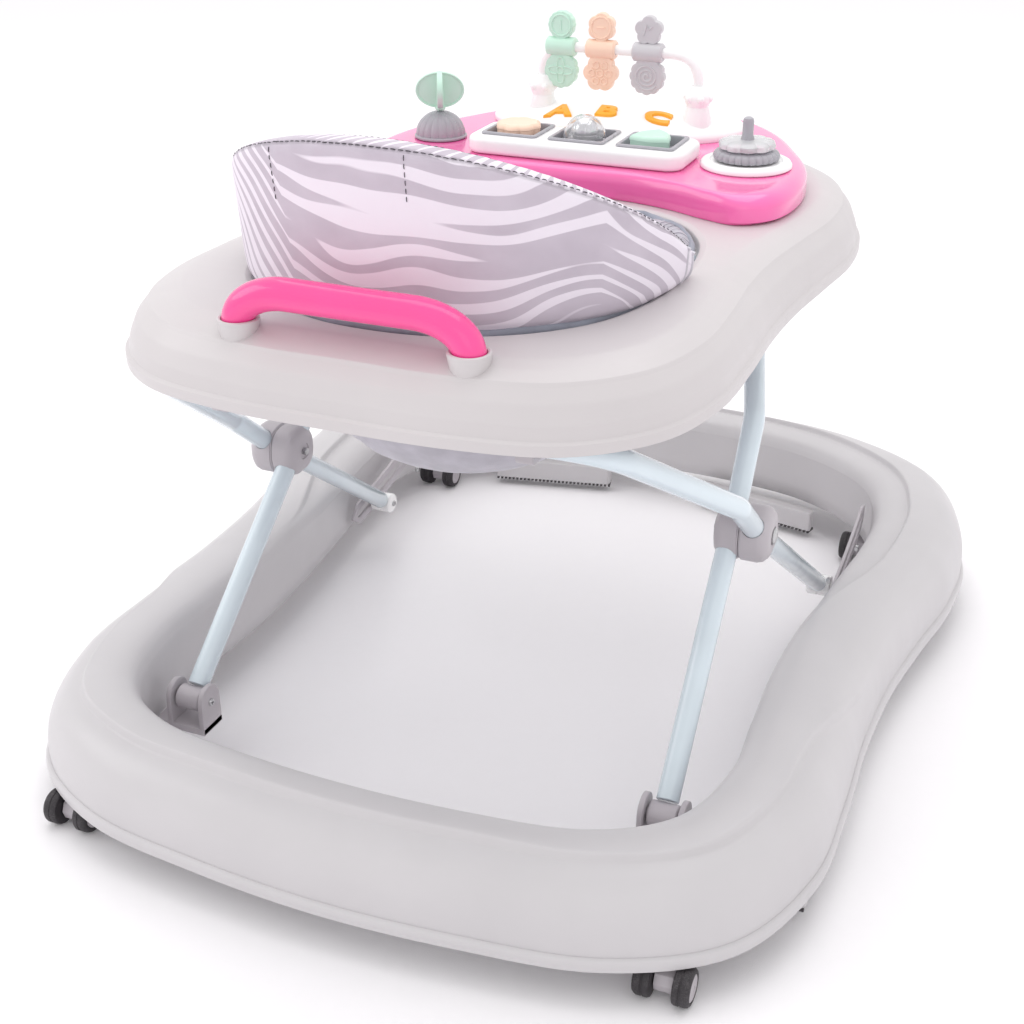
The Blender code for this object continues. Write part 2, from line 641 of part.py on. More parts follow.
def build_seat():
    """The padded seat back and the hanging seat with its two leg holes."""
    steps = 22
    angles = [SEAT_HALF_TURN * (2 * k / steps - 1) for k in range(steps + 1)]
    loft("seat_back", [seat_loop(angle) for angle in angles], FABRIC)

    count = 36
    outside, inside = [], []
    for scale, z in BUCKET_LEVELS:
        raised = BUCKET_WALL * (1 - scale) * 2
        for loops, inset, lift in ((outside, 0, 0), (inside, BUCKET_WALL, raised)):
            loops.append([
                (
                    (SEAT_RX * scale - inset) * math.sin(2 * math.pi * k / count),
                    SEAT_Y + (SEAT_RY * scale - inset) * math.cos(2 * math.pi * k / count),
                    z + lift,
                )
                for k in range(count)
            ])
    bottom = (0, SEAT_Y, BUCKET_LEVELS[-1][1] - BUCKET_WALL)
    floor = (0, SEAT_Y, BUCKET_LEVELS[-1][1] + 0.001)
    loops = [[bottom]] + outside[::-1] + inside + [[floor]]
    bucket = loft("seat_bucket", loops, FABRIC)
    low, high = 0.200, 0.335
    hole = [(0, low), (LEG_HOLE_R, low), (LEG_HOLE_R, high), (0, high)]
    for side, sign in SIDES:
        centre = (sign * LEG_HOLE[0], LEG_HOLE[1], 0)
        boolean(bucket, turned(f"leg_hole_{side}", hole, "Z", centre, None, 20), "DIFFERENCE")


def inset_loop(outline, scale, centre, z):
    """Copy of an outline drawn in towards a centre, at height z."""
    return [
        (centre[0] + (p.x - centre[0]) * scale, centre[1] + (p.y - centre[1]) * scale, z)
        for p in outline
    ]


def build_console():
    """White console with three wells: two keys and a roller ball under its clear cover."""
    outline = rounded_box(*CONSOLE, 0.012, 3)
    console = plate("key_console", outline, (ON_DECK_Z, CONSOLE_TOP_Z), "Z", CAP_WHITE)
    half = KEY_WELL / 2
    for name, x in (("peach", KEY_PITCH), ("ball", 0), ("mint", -KEY_PITCH)):
        well = rounded_box((x - half, KEY_Y - half), (x + half, KEY_Y + half), 0.003, 1)
        cutter = plate(f"{name}_well", well, (WELL_FLOOR_Z, CONSOLE_TOP_Z + 0.01), "Z", None)
        boolean(console, cutter, "DIFFERENCE")

    key = [(0, KEY_BOTTOM_Z), (0.0160, KEY_BOTTOM_Z), (0.0170, KEY_BOTTOM_Z + 0.0015),
           (0.0170, 0.4430), (0.0145, 0.4455), (0, 0.4460)]
    for name, x, paint in (("peach", KEY_PITCH, PEACH), ("mint", -KEY_PITCH, MINT)):
        turned(f"{name}_key", key, "Z", (x, KEY_Y, 0), paint, 16, (x, KEY_Y, CONSOLE_TOP_Z))

    turns = 8
    ball = [(0, -BALL_R)]
    for k in range(1, turns):
        angle = math.pi * k / turns
        ball.append((BALL_R * math.sin(angle), -BALL_R * math.cos(angle)))
    ball.append((0, BALL_R))
    middle = (0, KEY_Y, BALL_Z)
    turned("roller_ball", ball, "X", middle, STEEL, 16)
    inside = [(0, 0.0145), (0.0105, 0.0110), (0.0152, 0.0045), (0.0165, -0.0065)]
    outside = [(0.0175, -0.0065), (0.0165, 0.0050), (0.0115, 0.0120), (0, 0.0155)]
    turned("ball_cover", inside + outside, "Z", middle, CLEAR, 16)


def build_toy_bar():
    """Domed panel with the bar's sockets, the bar and its three turning paddles."""
    loops = [
        [(DOME_RX * scale * a, DOME_Y + DOME_RY * scale * b, z) for a, b in circle(1, 28)]
        for scale, z in DOME_LEVELS
    ]
    panel = loft("dome_panel", loops + [[(0, DOME_Y, DOME_TOP_Z)]], CAP_WHITE)
    half_x, half_y = BAR_SOCKET_HALF
    for side, sign in SIDES:
        x = sign * BAR_X
        block = rounded_box((x - half_x, BAR_Y - half_y), (x + half_x, BAR_Y + half_y), 0.003, 1)
        post = plate(f"bar_socket_{side}", block, (DOME_LEVELS[1][1], BAR_SOCKET_Z), "Z", None)
        boolean(panel, post, "UNION")
    foot = BAR_SOCKET_Z + RUN_GAP
    corners = [(BAR_X, BAR_Y, foot), (BAR_X, BAR_Y, BAR_Z),
               (-BAR_X, BAR_Y, BAR_Z), (-BAR_X, BAR_Y, foot)]
    tube("toy_bar", rounded_path(corners, 0.008), BAR_R, CAP_WHITE, 10)

    paints = {"mint": MINT, "peach": PEACH, "grey": TOY_GREY}
    barrel = [(0, -BARREL_HALF), (BARREL_R, -BARREL_HALF), (BARREL_R, BARREL_HALF),
              (0, BARREL_HALF)]
    for name, x in PADDLES:
        centre = (x, BAR_Y, BAR_Z)
        loops = [
            [(x + a, BAR_Y + y, BAR_Z + b) for a, b in PADDLE_OUTLINE]
            for y in (-PADDLE_HALF_Y, PADDLE_HALF_Y)
        ]
        paddle = loft(f"{name}_paddle", loops, paints[name], centre)
        boolean(paddle, turned(f"{name}_barrel", barrel, "X", centre, None, 14), "UNION")
        bore(paddle, f"{name}_bore", BAR_R, (x - 0.03, x + 0.03), centre, 14)


def build_deck():
    """The pink toy deck, its console and bar, the leaf spinner and the dial."""
    outline = smooth_outline(mirrored(DECK_OUTLINE))
    middle = (0, -0.150)
    levels = ((0.985, DECK_Z), (1.0, 0.408), (1.0, 0.417), (0.985, 0.422), (0.955, DECK_TOP_Z))
    loops = [inset_loop(outline, scale, middle, z) for scale, z in levels]
    loft("toy_deck", loops, PINK)
    build_console()
    build_toy_bar()

    lobe = (LOBE_X, LOBE_Y, 0)
    dome = [(0, ON_DECK_Z), (0.0215, ON_DECK_Z), (0.0215, 0.4290), (0.0185, 0.4380),
            (0.0110, 0.4445), (0, 0.4465)]
    turned("spinner_dome", dome, "Z", lobe, TOY_GREY, 20)
    leaf = [(0, 0.4470), (0.0040, 0.4470), (0.0040, 0.4490), (0.0130, 0.4530),
            (0.0190, 0.4590), (0.0205, 0.4640), (0.0190, 0.4690), (0.0130, 0.4750),
            (0, 0.4785)]
    turned("leaf_spinner", leaf, "Z", lobe, MINT, 16, (LOBE_X, LOBE_Y, 0.464))

    dial = (-LOBE_X, LOBE_Y, 0)
    ring = [(0, ON_DECK_Z), (0.0360, ON_DECK_Z), (0.0360, 0.4270), (0.0330, 0.4300),
            (0, 0.4300)]
    turned("dial_base", ring, "Z", dial, CAP_WHITE, 24)
    knob = [(0, 0.4303), (0.0255, 0.4303), (0.0265, 0.4330), (0.0240, 0.4370),
            (0.0215, 0.4380), (0.0215, 0.4440), (0.0200, 0.4460), (0.0060, 0.4475),
            (0.0045, 0.4500), (0.0045, 0.4590), (0.0030, 0.4620), (0, 0.4630)]
    turned("dial_knob", knob, "Z", dial, TOY_GREY, 20, (-LOBE_X, LOBE_Y, 0.437))


for old in list(bpy.data.objects):
    bpy.data.objects.remove(old)

BASE_GREY = material("base_grey", (0.62, 0.58, 0.61), 0.40)
TRAY_WHITE = material("tray_warm_grey", (0.73, 0.70, 0.70), 0.42)
TUBE_BLUE = material("tube_pale_blue", (0.68, 0.79, 0.83), 0.25)
HUB_GREY = material("hub_grey", (0.45, 0.43, 0.45), 0.50)
PINK = material("hot_pink", (0.95, 0.10, 0.33), 0.20)
FABRIC = material("seat_fabric", (0.72, 0.68, 0.73), 0.90)
RUBBER = material("grip_rubber", (0.10, 0.10, 0.10), 0.85)
TYRE_BLACK = material("tyre_black", (0.05, 0.045, 0.05), 0.60)
CAP_WHITE = material("toy_white", (0.90, 0.89, 0.89), 0.20)
MINT = material("toy_mint", (0.36, 0.68, 0.50), 0.35)
PEACH = material("toy_peach", (1.00, 0.47, 0.31), 0.35)
TOY_GREY = material("toy_grey", (0.33, 0.33, 0.36), 0.35)
STEEL = material("bright_steel", (0.65, 0.65, 0.67), 0.22, 1.0)
CLEAR = material("clear_lens", (0.95, 0.95, 0.95), 0.05, 0.0, 0.3)

build_base()
build_casters()
build_legs()
build_tray()
build_seat()
build_deck()
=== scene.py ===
"""The looks of a folding baby walker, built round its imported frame.

Everything is in metres in the part's own frame: +Z up, the floor at z = 0, the push handle
towards +Y, the toys towards -Y, and the baby's left towards +X.
"""

import logging
import math
from collections.abc import Sequence
from dataclasses import dataclass, field
from enum import Enum

import bmesh
import bpy
import numpy as np
from mathutils import Matrix, Vector
from mathutils.bvhtree import BVHTree


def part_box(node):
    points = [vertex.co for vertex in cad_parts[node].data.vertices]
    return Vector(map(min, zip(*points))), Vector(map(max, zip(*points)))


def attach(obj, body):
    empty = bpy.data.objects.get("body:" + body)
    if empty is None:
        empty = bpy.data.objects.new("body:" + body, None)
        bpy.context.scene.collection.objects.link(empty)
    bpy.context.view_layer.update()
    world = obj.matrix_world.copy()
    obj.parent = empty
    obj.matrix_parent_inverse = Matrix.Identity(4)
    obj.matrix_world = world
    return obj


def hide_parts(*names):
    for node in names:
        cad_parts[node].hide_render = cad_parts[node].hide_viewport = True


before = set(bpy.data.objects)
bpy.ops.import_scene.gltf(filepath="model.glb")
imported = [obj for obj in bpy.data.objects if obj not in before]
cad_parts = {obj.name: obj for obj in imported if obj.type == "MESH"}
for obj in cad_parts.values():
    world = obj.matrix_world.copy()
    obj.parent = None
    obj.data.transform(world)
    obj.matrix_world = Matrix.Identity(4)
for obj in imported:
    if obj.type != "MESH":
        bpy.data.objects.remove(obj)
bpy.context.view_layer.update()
LOG = logging.getLogger("walker")

Piece = bpy.types.Object
Socket = bpy.types.NodeSocket
Pair = tuple[float, float]
Colour = tuple[float, float, float, float]
Outline = tuple[Pair, ...]

SIDES = (("left", 1), ("right", -1))
CORNERS = ("front_left", "front_right", "rear_left", "rear_right")
CLOTH_MAP = "cloth_map"


# ---------------------------------------------------------------- finishes


def srgb(red: int, green: int, blue: int) -> Colour:
    """Turn an 8-bit display colour into the linear colour that a shader takes.

    Args:
        red: Red, 0 to 255.
        green: Green, 0 to 255.
        blue: Blue, 0 to 255.

    Returns:
        The linear colour, with full alpha.
    """
    linear = []
    for value in (red, green, blue):
        share = value / 255
        linear.append(share / 12.92 if share <= 0.04045 else ((share + 0.055) / 1.055) ** 2.4)
    return (*linear, 1.0)


class ShaderTree:
    """A new material, with short calls that add and link its nodes."""

    def __init__(self, name: str) -> None:
        """Start the material from a Principled shader.

        Args:
            name: The material's name.
        """
        self.material = bpy.data.materials.new(name)
        self.material.use_nodes = True
        self.tree = self.material.node_tree
        self.shader = self.tree.nodes["Principled BSDF"]

    def feed(self, node: bpy.types.Node, values: dict[int | str, object]) -> None:
        """Link or set some of a node's inputs.

        Args:
            node: The node.
            values: A socket or a plain value for each input, by name or number.
        """
        for key, value in values.items():
            if isinstance(value, Socket):
                self.tree.links.new(value, node.inputs[key])
            else:
                node.inputs[key].default_value = value

    def add(self, kind: str, values: dict[int | str, object], out: int | str = 0,
            **settings: object) -> Socket:
        """Add a node.

        Args:
            kind: The node's type name.
            values: What its inputs are fed.
            out: The output that is wanted.
            settings: Values for the node's properties.

        Returns:
            The output's socket.
        """
        made = self.tree.nodes.new(kind)
        for key, value in settings.items():
            setattr(made, key, value)
        self.feed(made, values)
        return made.outputs[out]

    def surface(self, **values: object) -> None:
        """Feed the Principled shader's inputs, named with underscores for spaces."""
        self.feed(self.shader, {key.replace("_", " "): value for key, value in values.items()})

    def place(self, stretch: tuple[float, float, float] = (1, 1, 1)) -> Socket:
        """Object coordinates, stretched along X, Y and Z."""
        where = self.add("ShaderNodeTexCoord", {}, "Object")
        return self.add("ShaderNodeMapping", {"Vector": where, "Scale": stretch})

    def split(self, vector: Socket) -> list[Socket]:
        """The three parts of a vector."""
        return list(self.add("ShaderNodeSeparateXYZ", {0: vector}).node.outputs)

    def noise(self, where: Socket, scale: float, detail: float = 2.0,
            rough: float = 0.5) -> Socket:
        """Noise from 0 to 1: features a metre, finer layers, and the finer layers' strength."""
        values = {"Vector": where, "Scale": scale, "Detail": detail, "Roughness": rough}
        return self.add("ShaderNodeTexNoise", values, "Fac")

    def ranged(self, value: Socket, source: Pair, target: Pair = (0, 1)) -> Socket:
        """Map a value from the range source to the range target, clamped."""
        ends = dict(zip(("From Min", "From Max", "To Min", "To Max"), (*source, *target)))
        return self.add("ShaderNodeMapRange", {"Value": value, **ends}, "Result")

    def maths(self, operation: str, *values: object) -> Socket:
        """Work out a number from sockets and numbers."""
        return self.add("ShaderNodeMath", dict(enumerate(values)), operation=operation)

    def mixed(self, share: object, first: object, second: object) -> Socket:
        """Mix two colours, by the share of the second."""
        return self.add("ShaderNodeMix", {0: share, 6: first, 7: second}, 2, data_type="RGBA")

    def bumped(self, height: Socket, distance: float, under: Socket | None = None) -> Socket:
        """Turn a height from 0 to 1 into a normal, over a coarser bump where one is given."""
        values = {"Distance": distance, "Height": height}
        return self.add("ShaderNodeBump", values if under is None else values | {"Normal": under})


def toned(colour: Colour, share: float) -> Colour:
    """A colour made darker or paler by a share."""
    return (*(min(1.0, c * share) for c in colour[:3]), 1)


@dataclass(frozen=True)
class Finish:
    """What a piece's surface is made of."""

    name: str
    colour: Colour

    def material(self) -> bpy.types.Material:
        """The finish's material, made the first time it is asked for."""
        if self.name not in bpy.data.materials:
            self.paint(ShaderTree(self.name))
        return bpy.data.materials[self.name]

    def paint(self, tree: ShaderTree) -> None:
        """Add the nodes that make the finish."""
        tree.surface(Base_Color=self.colour)


@dataclass(frozen=True)
class Moulded(Finish):
    """Injection-moulded plastic: a fine pebble, faint flow marks and slightly uneven gloss."""

    rough: float = 0.38
    pebble: float = 0.00004
    grain: float = 900.0
    mottle: float = 0.05
    coat: float = 0.0

    def paint(self, tree: ShaderTree) -> None:
        """Add the nodes that make the finish.

        Args:
            tree: The material's tree.
        """
        where = tree.place()
        cloud = tree.ranged(tree.noise(where, 14.0, 4.0), (0.3, 0.7))
        flow = tree.noise(tree.place((5, 60, 20)), 1.0, 3.0)
        fine = tree.noise(where, self.grain, 2.0, 0.6)
        gloss = tree.maths("ADD", tree.ranged(flow, (0.3, 0.7), (-0.04, 0.05)), self.rough)
        wave = tree.bumped(tree.noise(where, 22.0, 1.0), 0.0006)
        tree.surface(Base_Color=tree.mixed(cloud, self.colour, toned(self.colour,
            1 - self.mottle * 2)), Roughness=tree.maths("ADD", gloss, tree.ranged(fine, (0.3, 0.7),
            (-0.02, 0.02))), Normal=tree.bumped(fine, self.pebble, wave), Coat_Weight=self.coat,
            Coat_Roughness=0.08)


@dataclass(frozen=True)
class PowderCoat(Finish):
    """Glossy coat on steel tube, with orange peel and faint scuffs along the tube."""

    rough: float = 0.2

    def paint(self, tree: ShaderTree) -> None:
        """Add the nodes that make the finish.

        Args:
            tree: The material's tree.
        """
        where = tree.place()
        scuff = tree.ranged(tree.noise(where, 55.0, 3.0), (0.4, 0.7), (0.0, 0.06))
        worn = tree.ranged(tree.noise(where, 18.0, 2.0), (0.45, 0.75))
        tree.surface(Base_Color=tree.mixed(worn, self.colour, toned(self.colour, 0.95)),
            Roughness=tree.maths("ADD", scuff, self.rough),
            Normal=tree.bumped(tree.noise(where, 420.0, 1.0), 0.00003), Coat_Weight=0.6,
            Coat_Roughness=0.06)


@dataclass(frozen=True)
class BareSteel(Finish):
    """Polished or zinc-plated steel with turning marks."""

    rough: float = 0.22

    def paint(self, tree: ShaderTree) -> None:
        """Add the nodes that make the finish.

        Args:
            tree: The material's tree.
        """
        marks = tree.noise(tree.place((1500, 120, 120)), 1.0, 2.0)
        spots = tree.ranged(tree.noise(tree.place(), 60.0, 4.0), (0.4, 0.7))
        tree.surface(Base_Color=tree.mixed(spots, self.colour, toned(self.colour, 0.7)),
            Metallic=1.0, Roughness=tree.maths("ADD", tree.ranged(marks, (0.3, 0.7), (0, 0.15)),
            self.rough), Normal=tree.bumped(marks, 0.00003))


@dataclass(frozen=True)
class SoftRubber(Finish):
    """Matt rubber, tyre plastic or paper, with dust in its grain."""

    dust: Colour
    rough: float = 0.6

    def paint(self, tree: ShaderTree) -> None:
        """Add the nodes that make the finish.

        Args:
            tree: The material's tree.
        """
        where = tree.place()
        grain = tree.noise(where, 1300.0, 3.0, 0.7)
        patches = tree.noise(where, 70.0, 4.0, 0.65)
        share = tree.ranged(tree.maths("MULTIPLY", patches, grain), (0.24, 0.42), (0, 0.35))
        tree.surface(Base_Color=tree.mixed(share, self.colour, self.dust),
            Roughness=tree.maths("ADD", tree.ranged(patches, (0.3, 0.7), (-0.1, 0.12)),
            self.rough), Normal=tree.bumped(grain, 0.00012))


@dataclass(frozen=True)
class ClearPlastic(Finish):
    """Clear moulded plastic with a slight tint and faint ripples."""

    clear: float = 0.92

    def paint(self, tree: ShaderTree) -> None:
        """Add the nodes that make the finish.

        Args:
            tree: The material's tree.
        """
        where = tree.place()
        tree.surface(Base_Color=self.colour, Roughness=tree.ranged(tree.noise(where, 180.0, 4.0),
            (0.4, 0.75), (0.02, 0.12)), Normal=tree.bumped(tree.noise(where, 90.0, 1.0), 0.00015),
            Transmission_Weight=self.clear, IOR=1.46, Coat_Weight=0.3, Coat_Roughness=0.04)


@dataclass(frozen=True)
class PrintedCloth(Finish):
    """Woven polyester with a printed pattern of wandering stripes.

    The pattern and the weave follow the attribute CLOTH_MAP, in metres along and up the cloth.
    """

    dark: Colour
    pitch: float = 0.015
    wander: float = 0.02
    share: float = 0.03
    ragged: float = 4.7
    strip_slope: float = 1.6
    left_lean: Pair = (0.06, -1.0)
    right_lean: Pair = (-0.15, -0.6)
    seam: float = 0.0014
    thread: float = 0.0009

    def paint(self, tree: ShaderTree) -> None:
        """Add the nodes that make the finish.

        Args:
            tree: The material's tree.
        """
        cloth = tree.add("ShaderNodeAttribute", {}, "Vector", attribute_name=CLOTH_MAP)
        along, up, over = tree.split(cloth)
        stripe = self._stripes(tree, cloth, along, up, over)
        seam = tree.ranged(tree.maths("ABSOLUTE", over), (0.0, self.seam), (1.0, 0.0))
        faded = tree.ranged(tree.noise(cloth, 35.0, 3.0), (0.3, 0.7), (0.0, 0.16))
        printed = tree.mixed(stripe, self.colour, self.dark)
        printed = tree.mixed(faded, printed, toned(self.colour, 1.08))
        threads = [tree.maths("SINE", tree.maths("MULTIPLY", way,
            2 * math.pi / self.thread)) for way in (along, up)]
        weave = tree.ranged(tree.maths("MULTIPLY", *threads), (-1, 1))
        crease = tree.bumped(tree.noise(cloth, 26.0, 3.0, 0.45), 0.0016)
        sunk = tree.bumped(tree.maths("SUBTRACT", 1.0, seam), 0.0008, crease)
        # Painted shade: the print darkens towards a deep tone of its dark colour along the sunk
        # seam at the top strip's edge.
        shade = toned(self.dark, 0.45)
        tree.surface(Base_Color=tree.mixed(tree.maths("MULTIPLY", seam, 0.4), printed, shade),
            Roughness=tree.maths("ADD", tree.ranged(weave, (0, 1), (0.0, 0.1)), 0.82),
            Normal=tree.bumped(weave, 0.0001, sunk), Sheen_Weight=0.12, Sheen_Roughness=0.45)

    def _stripes(self, tree: ShaderTree, cloth: Socket, along: Socket, up: Socket,
            over: Socket) -> Socket:
        """Stripes that wander, fork and taper, as 0 for light and 1 for dark.

        Args:
            tree: The material's tree.
            cloth: The cloth map.
            along: Its first part.
            up: Its second part.
            over: Its third part, above 0 on the strip along the top.

        Returns:
            The share of the dark colour.
        """
        broad = tree.maths("SUBTRACT", tree.noise(cloth, 8.0, 1.0, 0.4), 0.5)
        stretched = tree.add("ShaderNodeMapping", {"Scale": (10.0, 30.0, 1.0), "Vector": cloth})
        local = tree.maths("SUBTRACT", tree.noise(stretched, 1.0, 0.0, 0.4), 0.5)
        height = tree.maths("MULTIPLY_ADD", broad, self.wander * 4, up)
        for (start, lean), limit in ((self.left_lean, "MAXIMUM"), (self.right_lean, "MINIMUM")):
            past = tree.maths(limit, tree.maths("SUBTRACT", along, start), 0.0)
            height = tree.maths("MULTIPLY_ADD", past, lean, height)
        strip = tree.maths("MULTIPLY_ADD", along, self.strip_slope, up)
        strip = tree.maths("MULTIPLY_ADD", broad, 0.03, strip)
        on_strip = tree.maths("GREATER_THAN", over, 0.0)
        change = tree.maths("SUBTRACT", strip, height)
        height = tree.maths("MULTIPLY_ADD", on_strip, change, height)
        wave = tree.maths("SINE", tree.maths("MULTIPLY", height, 2 * math.pi / self.pitch))
        level = tree.maths("MULTIPLY_ADD", local, self.ragged, wave)
        return tree.ranged(level, (self.share - 0.1, self.share + 0.1))


@dataclass(frozen=True)
class PlainCloth(Finish):
    """Plain woven cloth, webbing or thread, on object coordinates."""

    weave: float = 0.0011
    crease: float = 0.0012

    def paint(self, tree: ShaderTree) -> None:
        """Add the nodes that make the finish.

        Args:
            tree: The material's tree.
        """
        where = tree.place()
        fold = tree.noise(where, 42.0, 3.0, 0.5)
        x, y, z = tree.split(where)
        threads = [tree.maths("SINE", tree.maths("MULTIPLY", way,
            2 * math.pi / self.weave)) for way in (tree.maths("ADD", x, y), z)]
        crossed = tree.maths("MULTIPLY", *threads)
        worn = tree.ranged(fold, (0.35, 0.65))
        folds = tree.bumped(fold, self.crease)
        tree.surface(Base_Color=tree.mixed(worn, self.colour, toned(self.colour, 0.8)),
            Roughness=tree.ranged(crossed, (-1, 1), (0.7, 0.88)),
            Normal=tree.bumped(tree.ranged(crossed, (-1, 1)), 0.00012, folds), Sheen_Weight=0.3,
            Sheen_Roughness=0.5)


BASE_PLASTIC = Moulded("base_plastic", srgb(203, 200, 202), 0.36, mottle=0.02)
TRAY_PLASTIC = Moulded("tray_plastic", srgb(207, 202, 203), 0.38, mottle=0.015)
FITTING_PLASTIC = Moulded("fitting_plastic", srgb(190, 184, 189), 0.4, 0.00007)
WHITE_PLASTIC = Moulded("white_plastic", srgb(230, 226, 229), 0.22, 0.00002, coat=0.3)
PINK_PLASTIC = Moulded("pink_plastic", srgb(255, 76, 156), 0.2, 0.00002, coat=0.5)
DECK_PLASTIC = Moulded("deck_plastic", srgb(255, 112, 182), 0.16, 0.00002, coat=0.7)
PEACH_PLASTIC = Moulded("peach_plastic", srgb(255, 220, 197), 0.35, 0.00004)
MINT_PLASTIC = Moulded("mint_plastic", srgb(206, 241, 223), 0.35, 0.00004)
TOY_GREY_PLASTIC = Moulded("toy_grey_plastic", srgb(172, 170, 177), 0.28, 0.00004)
PALE_GREY_PLASTIC = Moulded("pale_grey_plastic", srgb(206, 203, 207), 0.3, 0.00004)
LETTER_PLASTIC = Moulded("letter_plastic", srgb(254, 178, 48), 0.3, 0.00003)
TUBE_COAT = PowderCoat("tube_coat", srgb(218, 230, 237))
STEEL = BareSteel("zinc_steel", (0.62, 0.62, 0.63, 1))
CHROME = BareSteel("chrome_ball", (0.8, 0.8, 0.81, 1), 0.06)
GRIP_RUBBER = SoftRubber("grip_rubber", srgb(58, 54, 58), srgb(140, 135, 138))
TYRE_RUBBER = SoftRubber("tyre_rubber", srgb(38, 34, 38), srgb(120, 115, 118), 0.5)
CLEAR = ClearPlastic("clear_plastic", (0.97, 0.97, 0.985, 1))
FROSTED = ClearPlastic("frosted_plastic", (0.93, 0.93, 0.95, 1), 0.5)
STRIPED_CLOTH = PrintedCloth("striped_cloth", srgb(238, 230, 240), srgb(196, 186, 198))
SEAT_CLOTH = PlainCloth("seat_cloth", srgb(196, 192, 202))
BINDING = PlainCloth("binding_tape", srgb(158, 162, 176), crease=0.0004)
PIPING = PlainCloth("piping_cord", srgb(226, 222, 230), crease=0.0003)
FLOOR_PAPER = SoftRubber("floor_paper", srgb(252, 250, 252), srgb(248, 246, 248), 0.8)
THREAD = PlainCloth("dark_thread", srgb(74, 68, 78), 0.0006, 0.0001)

# ---------------------------------------------------------------- mesh making


class Axis(Enum):
    """Direction of a turned or extruded shape."""

    X = 0
    Y = 1
    Z = 2

    def lay(self, a: float, b: float, along: float) -> Vector:
        """The point that is a and b across the axis, and so far along it."""
        return Vector({"X": (along, a, b), "Y": (a, along, b), "Z": (a, b, along)}[self.name])


def placed(name: str, data: bpy.types.ID) -> Piece:
    """Put a mesh, a light or the like in the scene.

    Args:
        name: The new object's name.
        data: The mesh, curve, light or camera.

    Returns:
        The object.
    """
    made = bpy.data.objects.new(name, data)
    bpy.context.scene.collection.objects.link(made)
    return made


def shaded(mesh: bpy.types.Mesh, sharp: float) -> None:
    """Shade a mesh smooth, but for its edges over an angle in degrees."""
    mesh.shade_smooth()
    mesh.set_sharp_from_angle(angle=math.radians(sharp))


def middle_of(node: str) -> Vector:
    """The middle of a CAD node's box."""
    low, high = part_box(node)
    return (low + high) / 2


def faces_of(piece: Piece) -> BVHTree:
    """A piece's faces, ready for rays."""
    shape = bmesh.new()
    shape.from_mesh(piece.data)
    tree = BVHTree.FromBMesh(shape)
    shape.free()
    return tree


def solid(name: str, points: Sequence[Vector], faces: Sequence[Sequence[int]],
        sharp: float = 35.0) -> Piece:
    """Make a mesh object with its doubles merged, its faces turned out and smooth shading.

    Args:
        name: The object's name.
        points: Its points in the frame.
        faces: Its faces, as point numbers.
        sharp: Edges over this angle in degrees stay sharp.

    Returns:
        The object.
    """
    mesh = bpy.data.meshes.new(name)
    mesh.from_pydata([tuple(p) for p in points], [], faces)
    shape = bmesh.new()
    shape.from_mesh(mesh)
    bmesh.ops.remove_doubles(shape, verts=shape.verts, dist=1e-6)
    bmesh.ops.recalc_face_normals(shape, faces=shape.faces)
    shape.to_mesh(mesh)
    shape.free()
    shaded(mesh, sharp)
    return placed(name, mesh)


def loft(name: str, loops: Sequence[Sequence[Vector]], closed: bool = False,
        sharp: float = 35.0) -> Piece:
    """Skin a row of loops of points; a loop of one point is a pole.

    Args:
        name: The object's name.
        loops: The loops, each closed on itself.
        closed: True if the last loop joins the first, else both ends are capped.
        sharp: Edges over this angle in degrees stay sharp.

    Returns:
        The object.
    """
    points: list[Vector] = []
    starts = []
    for loop in loops:
        starts.append(len(points))
        points.extend(loop)
    rows = list(range(len(loops)))
    pairs = list(zip(rows, rows[1:] + rows[:1])) if closed else list(zip(rows, rows[1:]))
    faces = []
    for a, b in pairs:
        for k in range(max(len(loops[a]), len(loops[b]))):
            corners = []
            for row, step in ((a, k), (a, k + 1), (b, k + 1), (b, k)):
                corner = starts[row] + step % len(loops[row])
                if corner not in corners:
                    corners.append(corner)
            faces.append(corners)
    if not closed:
        for row in (0, len(loops) - 1):
            if len(loops[row]) > 1:
                faces.append([starts[row] + k for k in range(len(loops[row]))])
    return solid(name, points, faces, sharp)


def turns(count: int) -> list[float]:
    """Evenly spaced angles round a full turn."""
    return [2 * math.pi * k / count for k in range(count)]


def mm(*pairs: Pair) -> list[Pair]:
    """Pairs of millimetres as pairs of metres."""
    return [(round(a / 1000, 7), round(b / 1000, 7)) for a, b in pairs]


def polar(reach: float, angle: float, middle: Pair = (0, 0)) -> Pair:
    """The flat point at a distance and an angle from the middle."""
    return middle[0] + reach * math.cos(angle), middle[1] + reach * math.sin(angle)


def around(radius: float, sides: int, squash: float = 2.0) -> list[Pair]:
    """Points of a circle, or of a rounded square where squash is over 2.

    Args:
        radius: Radius in metres.
        sides: Number of points.
        squash: Power of the superellipse.

    Returns:
        The points as pairs.
    """
    found = []
    for angle in turns(sides):
        bulk = abs(math.cos(angle)) ** squash + abs(math.sin(angle)) ** squash
        found.append(polar(radius / bulk ** (1 / squash), angle))
    return found


def turned(name: str, profile: Sequence[Pair], centre: Sequence[float], axis: Axis = Axis.Z,
        sides: int = 48, squash: float = 2.0) -> Piece:
    """Turn a profile of (radius, distance along the axis) pairs about an axis.

    Args:
        name: The object's name.
        profile: The pairs; radius 0 at both ends closes the shape.
        centre: The point that distances are measured from.
        axis: The axis.
        sides: Number of points round.
        squash: Over 2 for a rounded square section.

    Returns:
        The object.
    """
    loops = []
    for radius, along in profile:
        ring = around(radius, sides, squash) if radius > 0 else [(0.0, 0.0)]
        loops.append([Vector(centre) + axis.lay(a, b, along) for a, b in ring])
    return loft(name, loops)


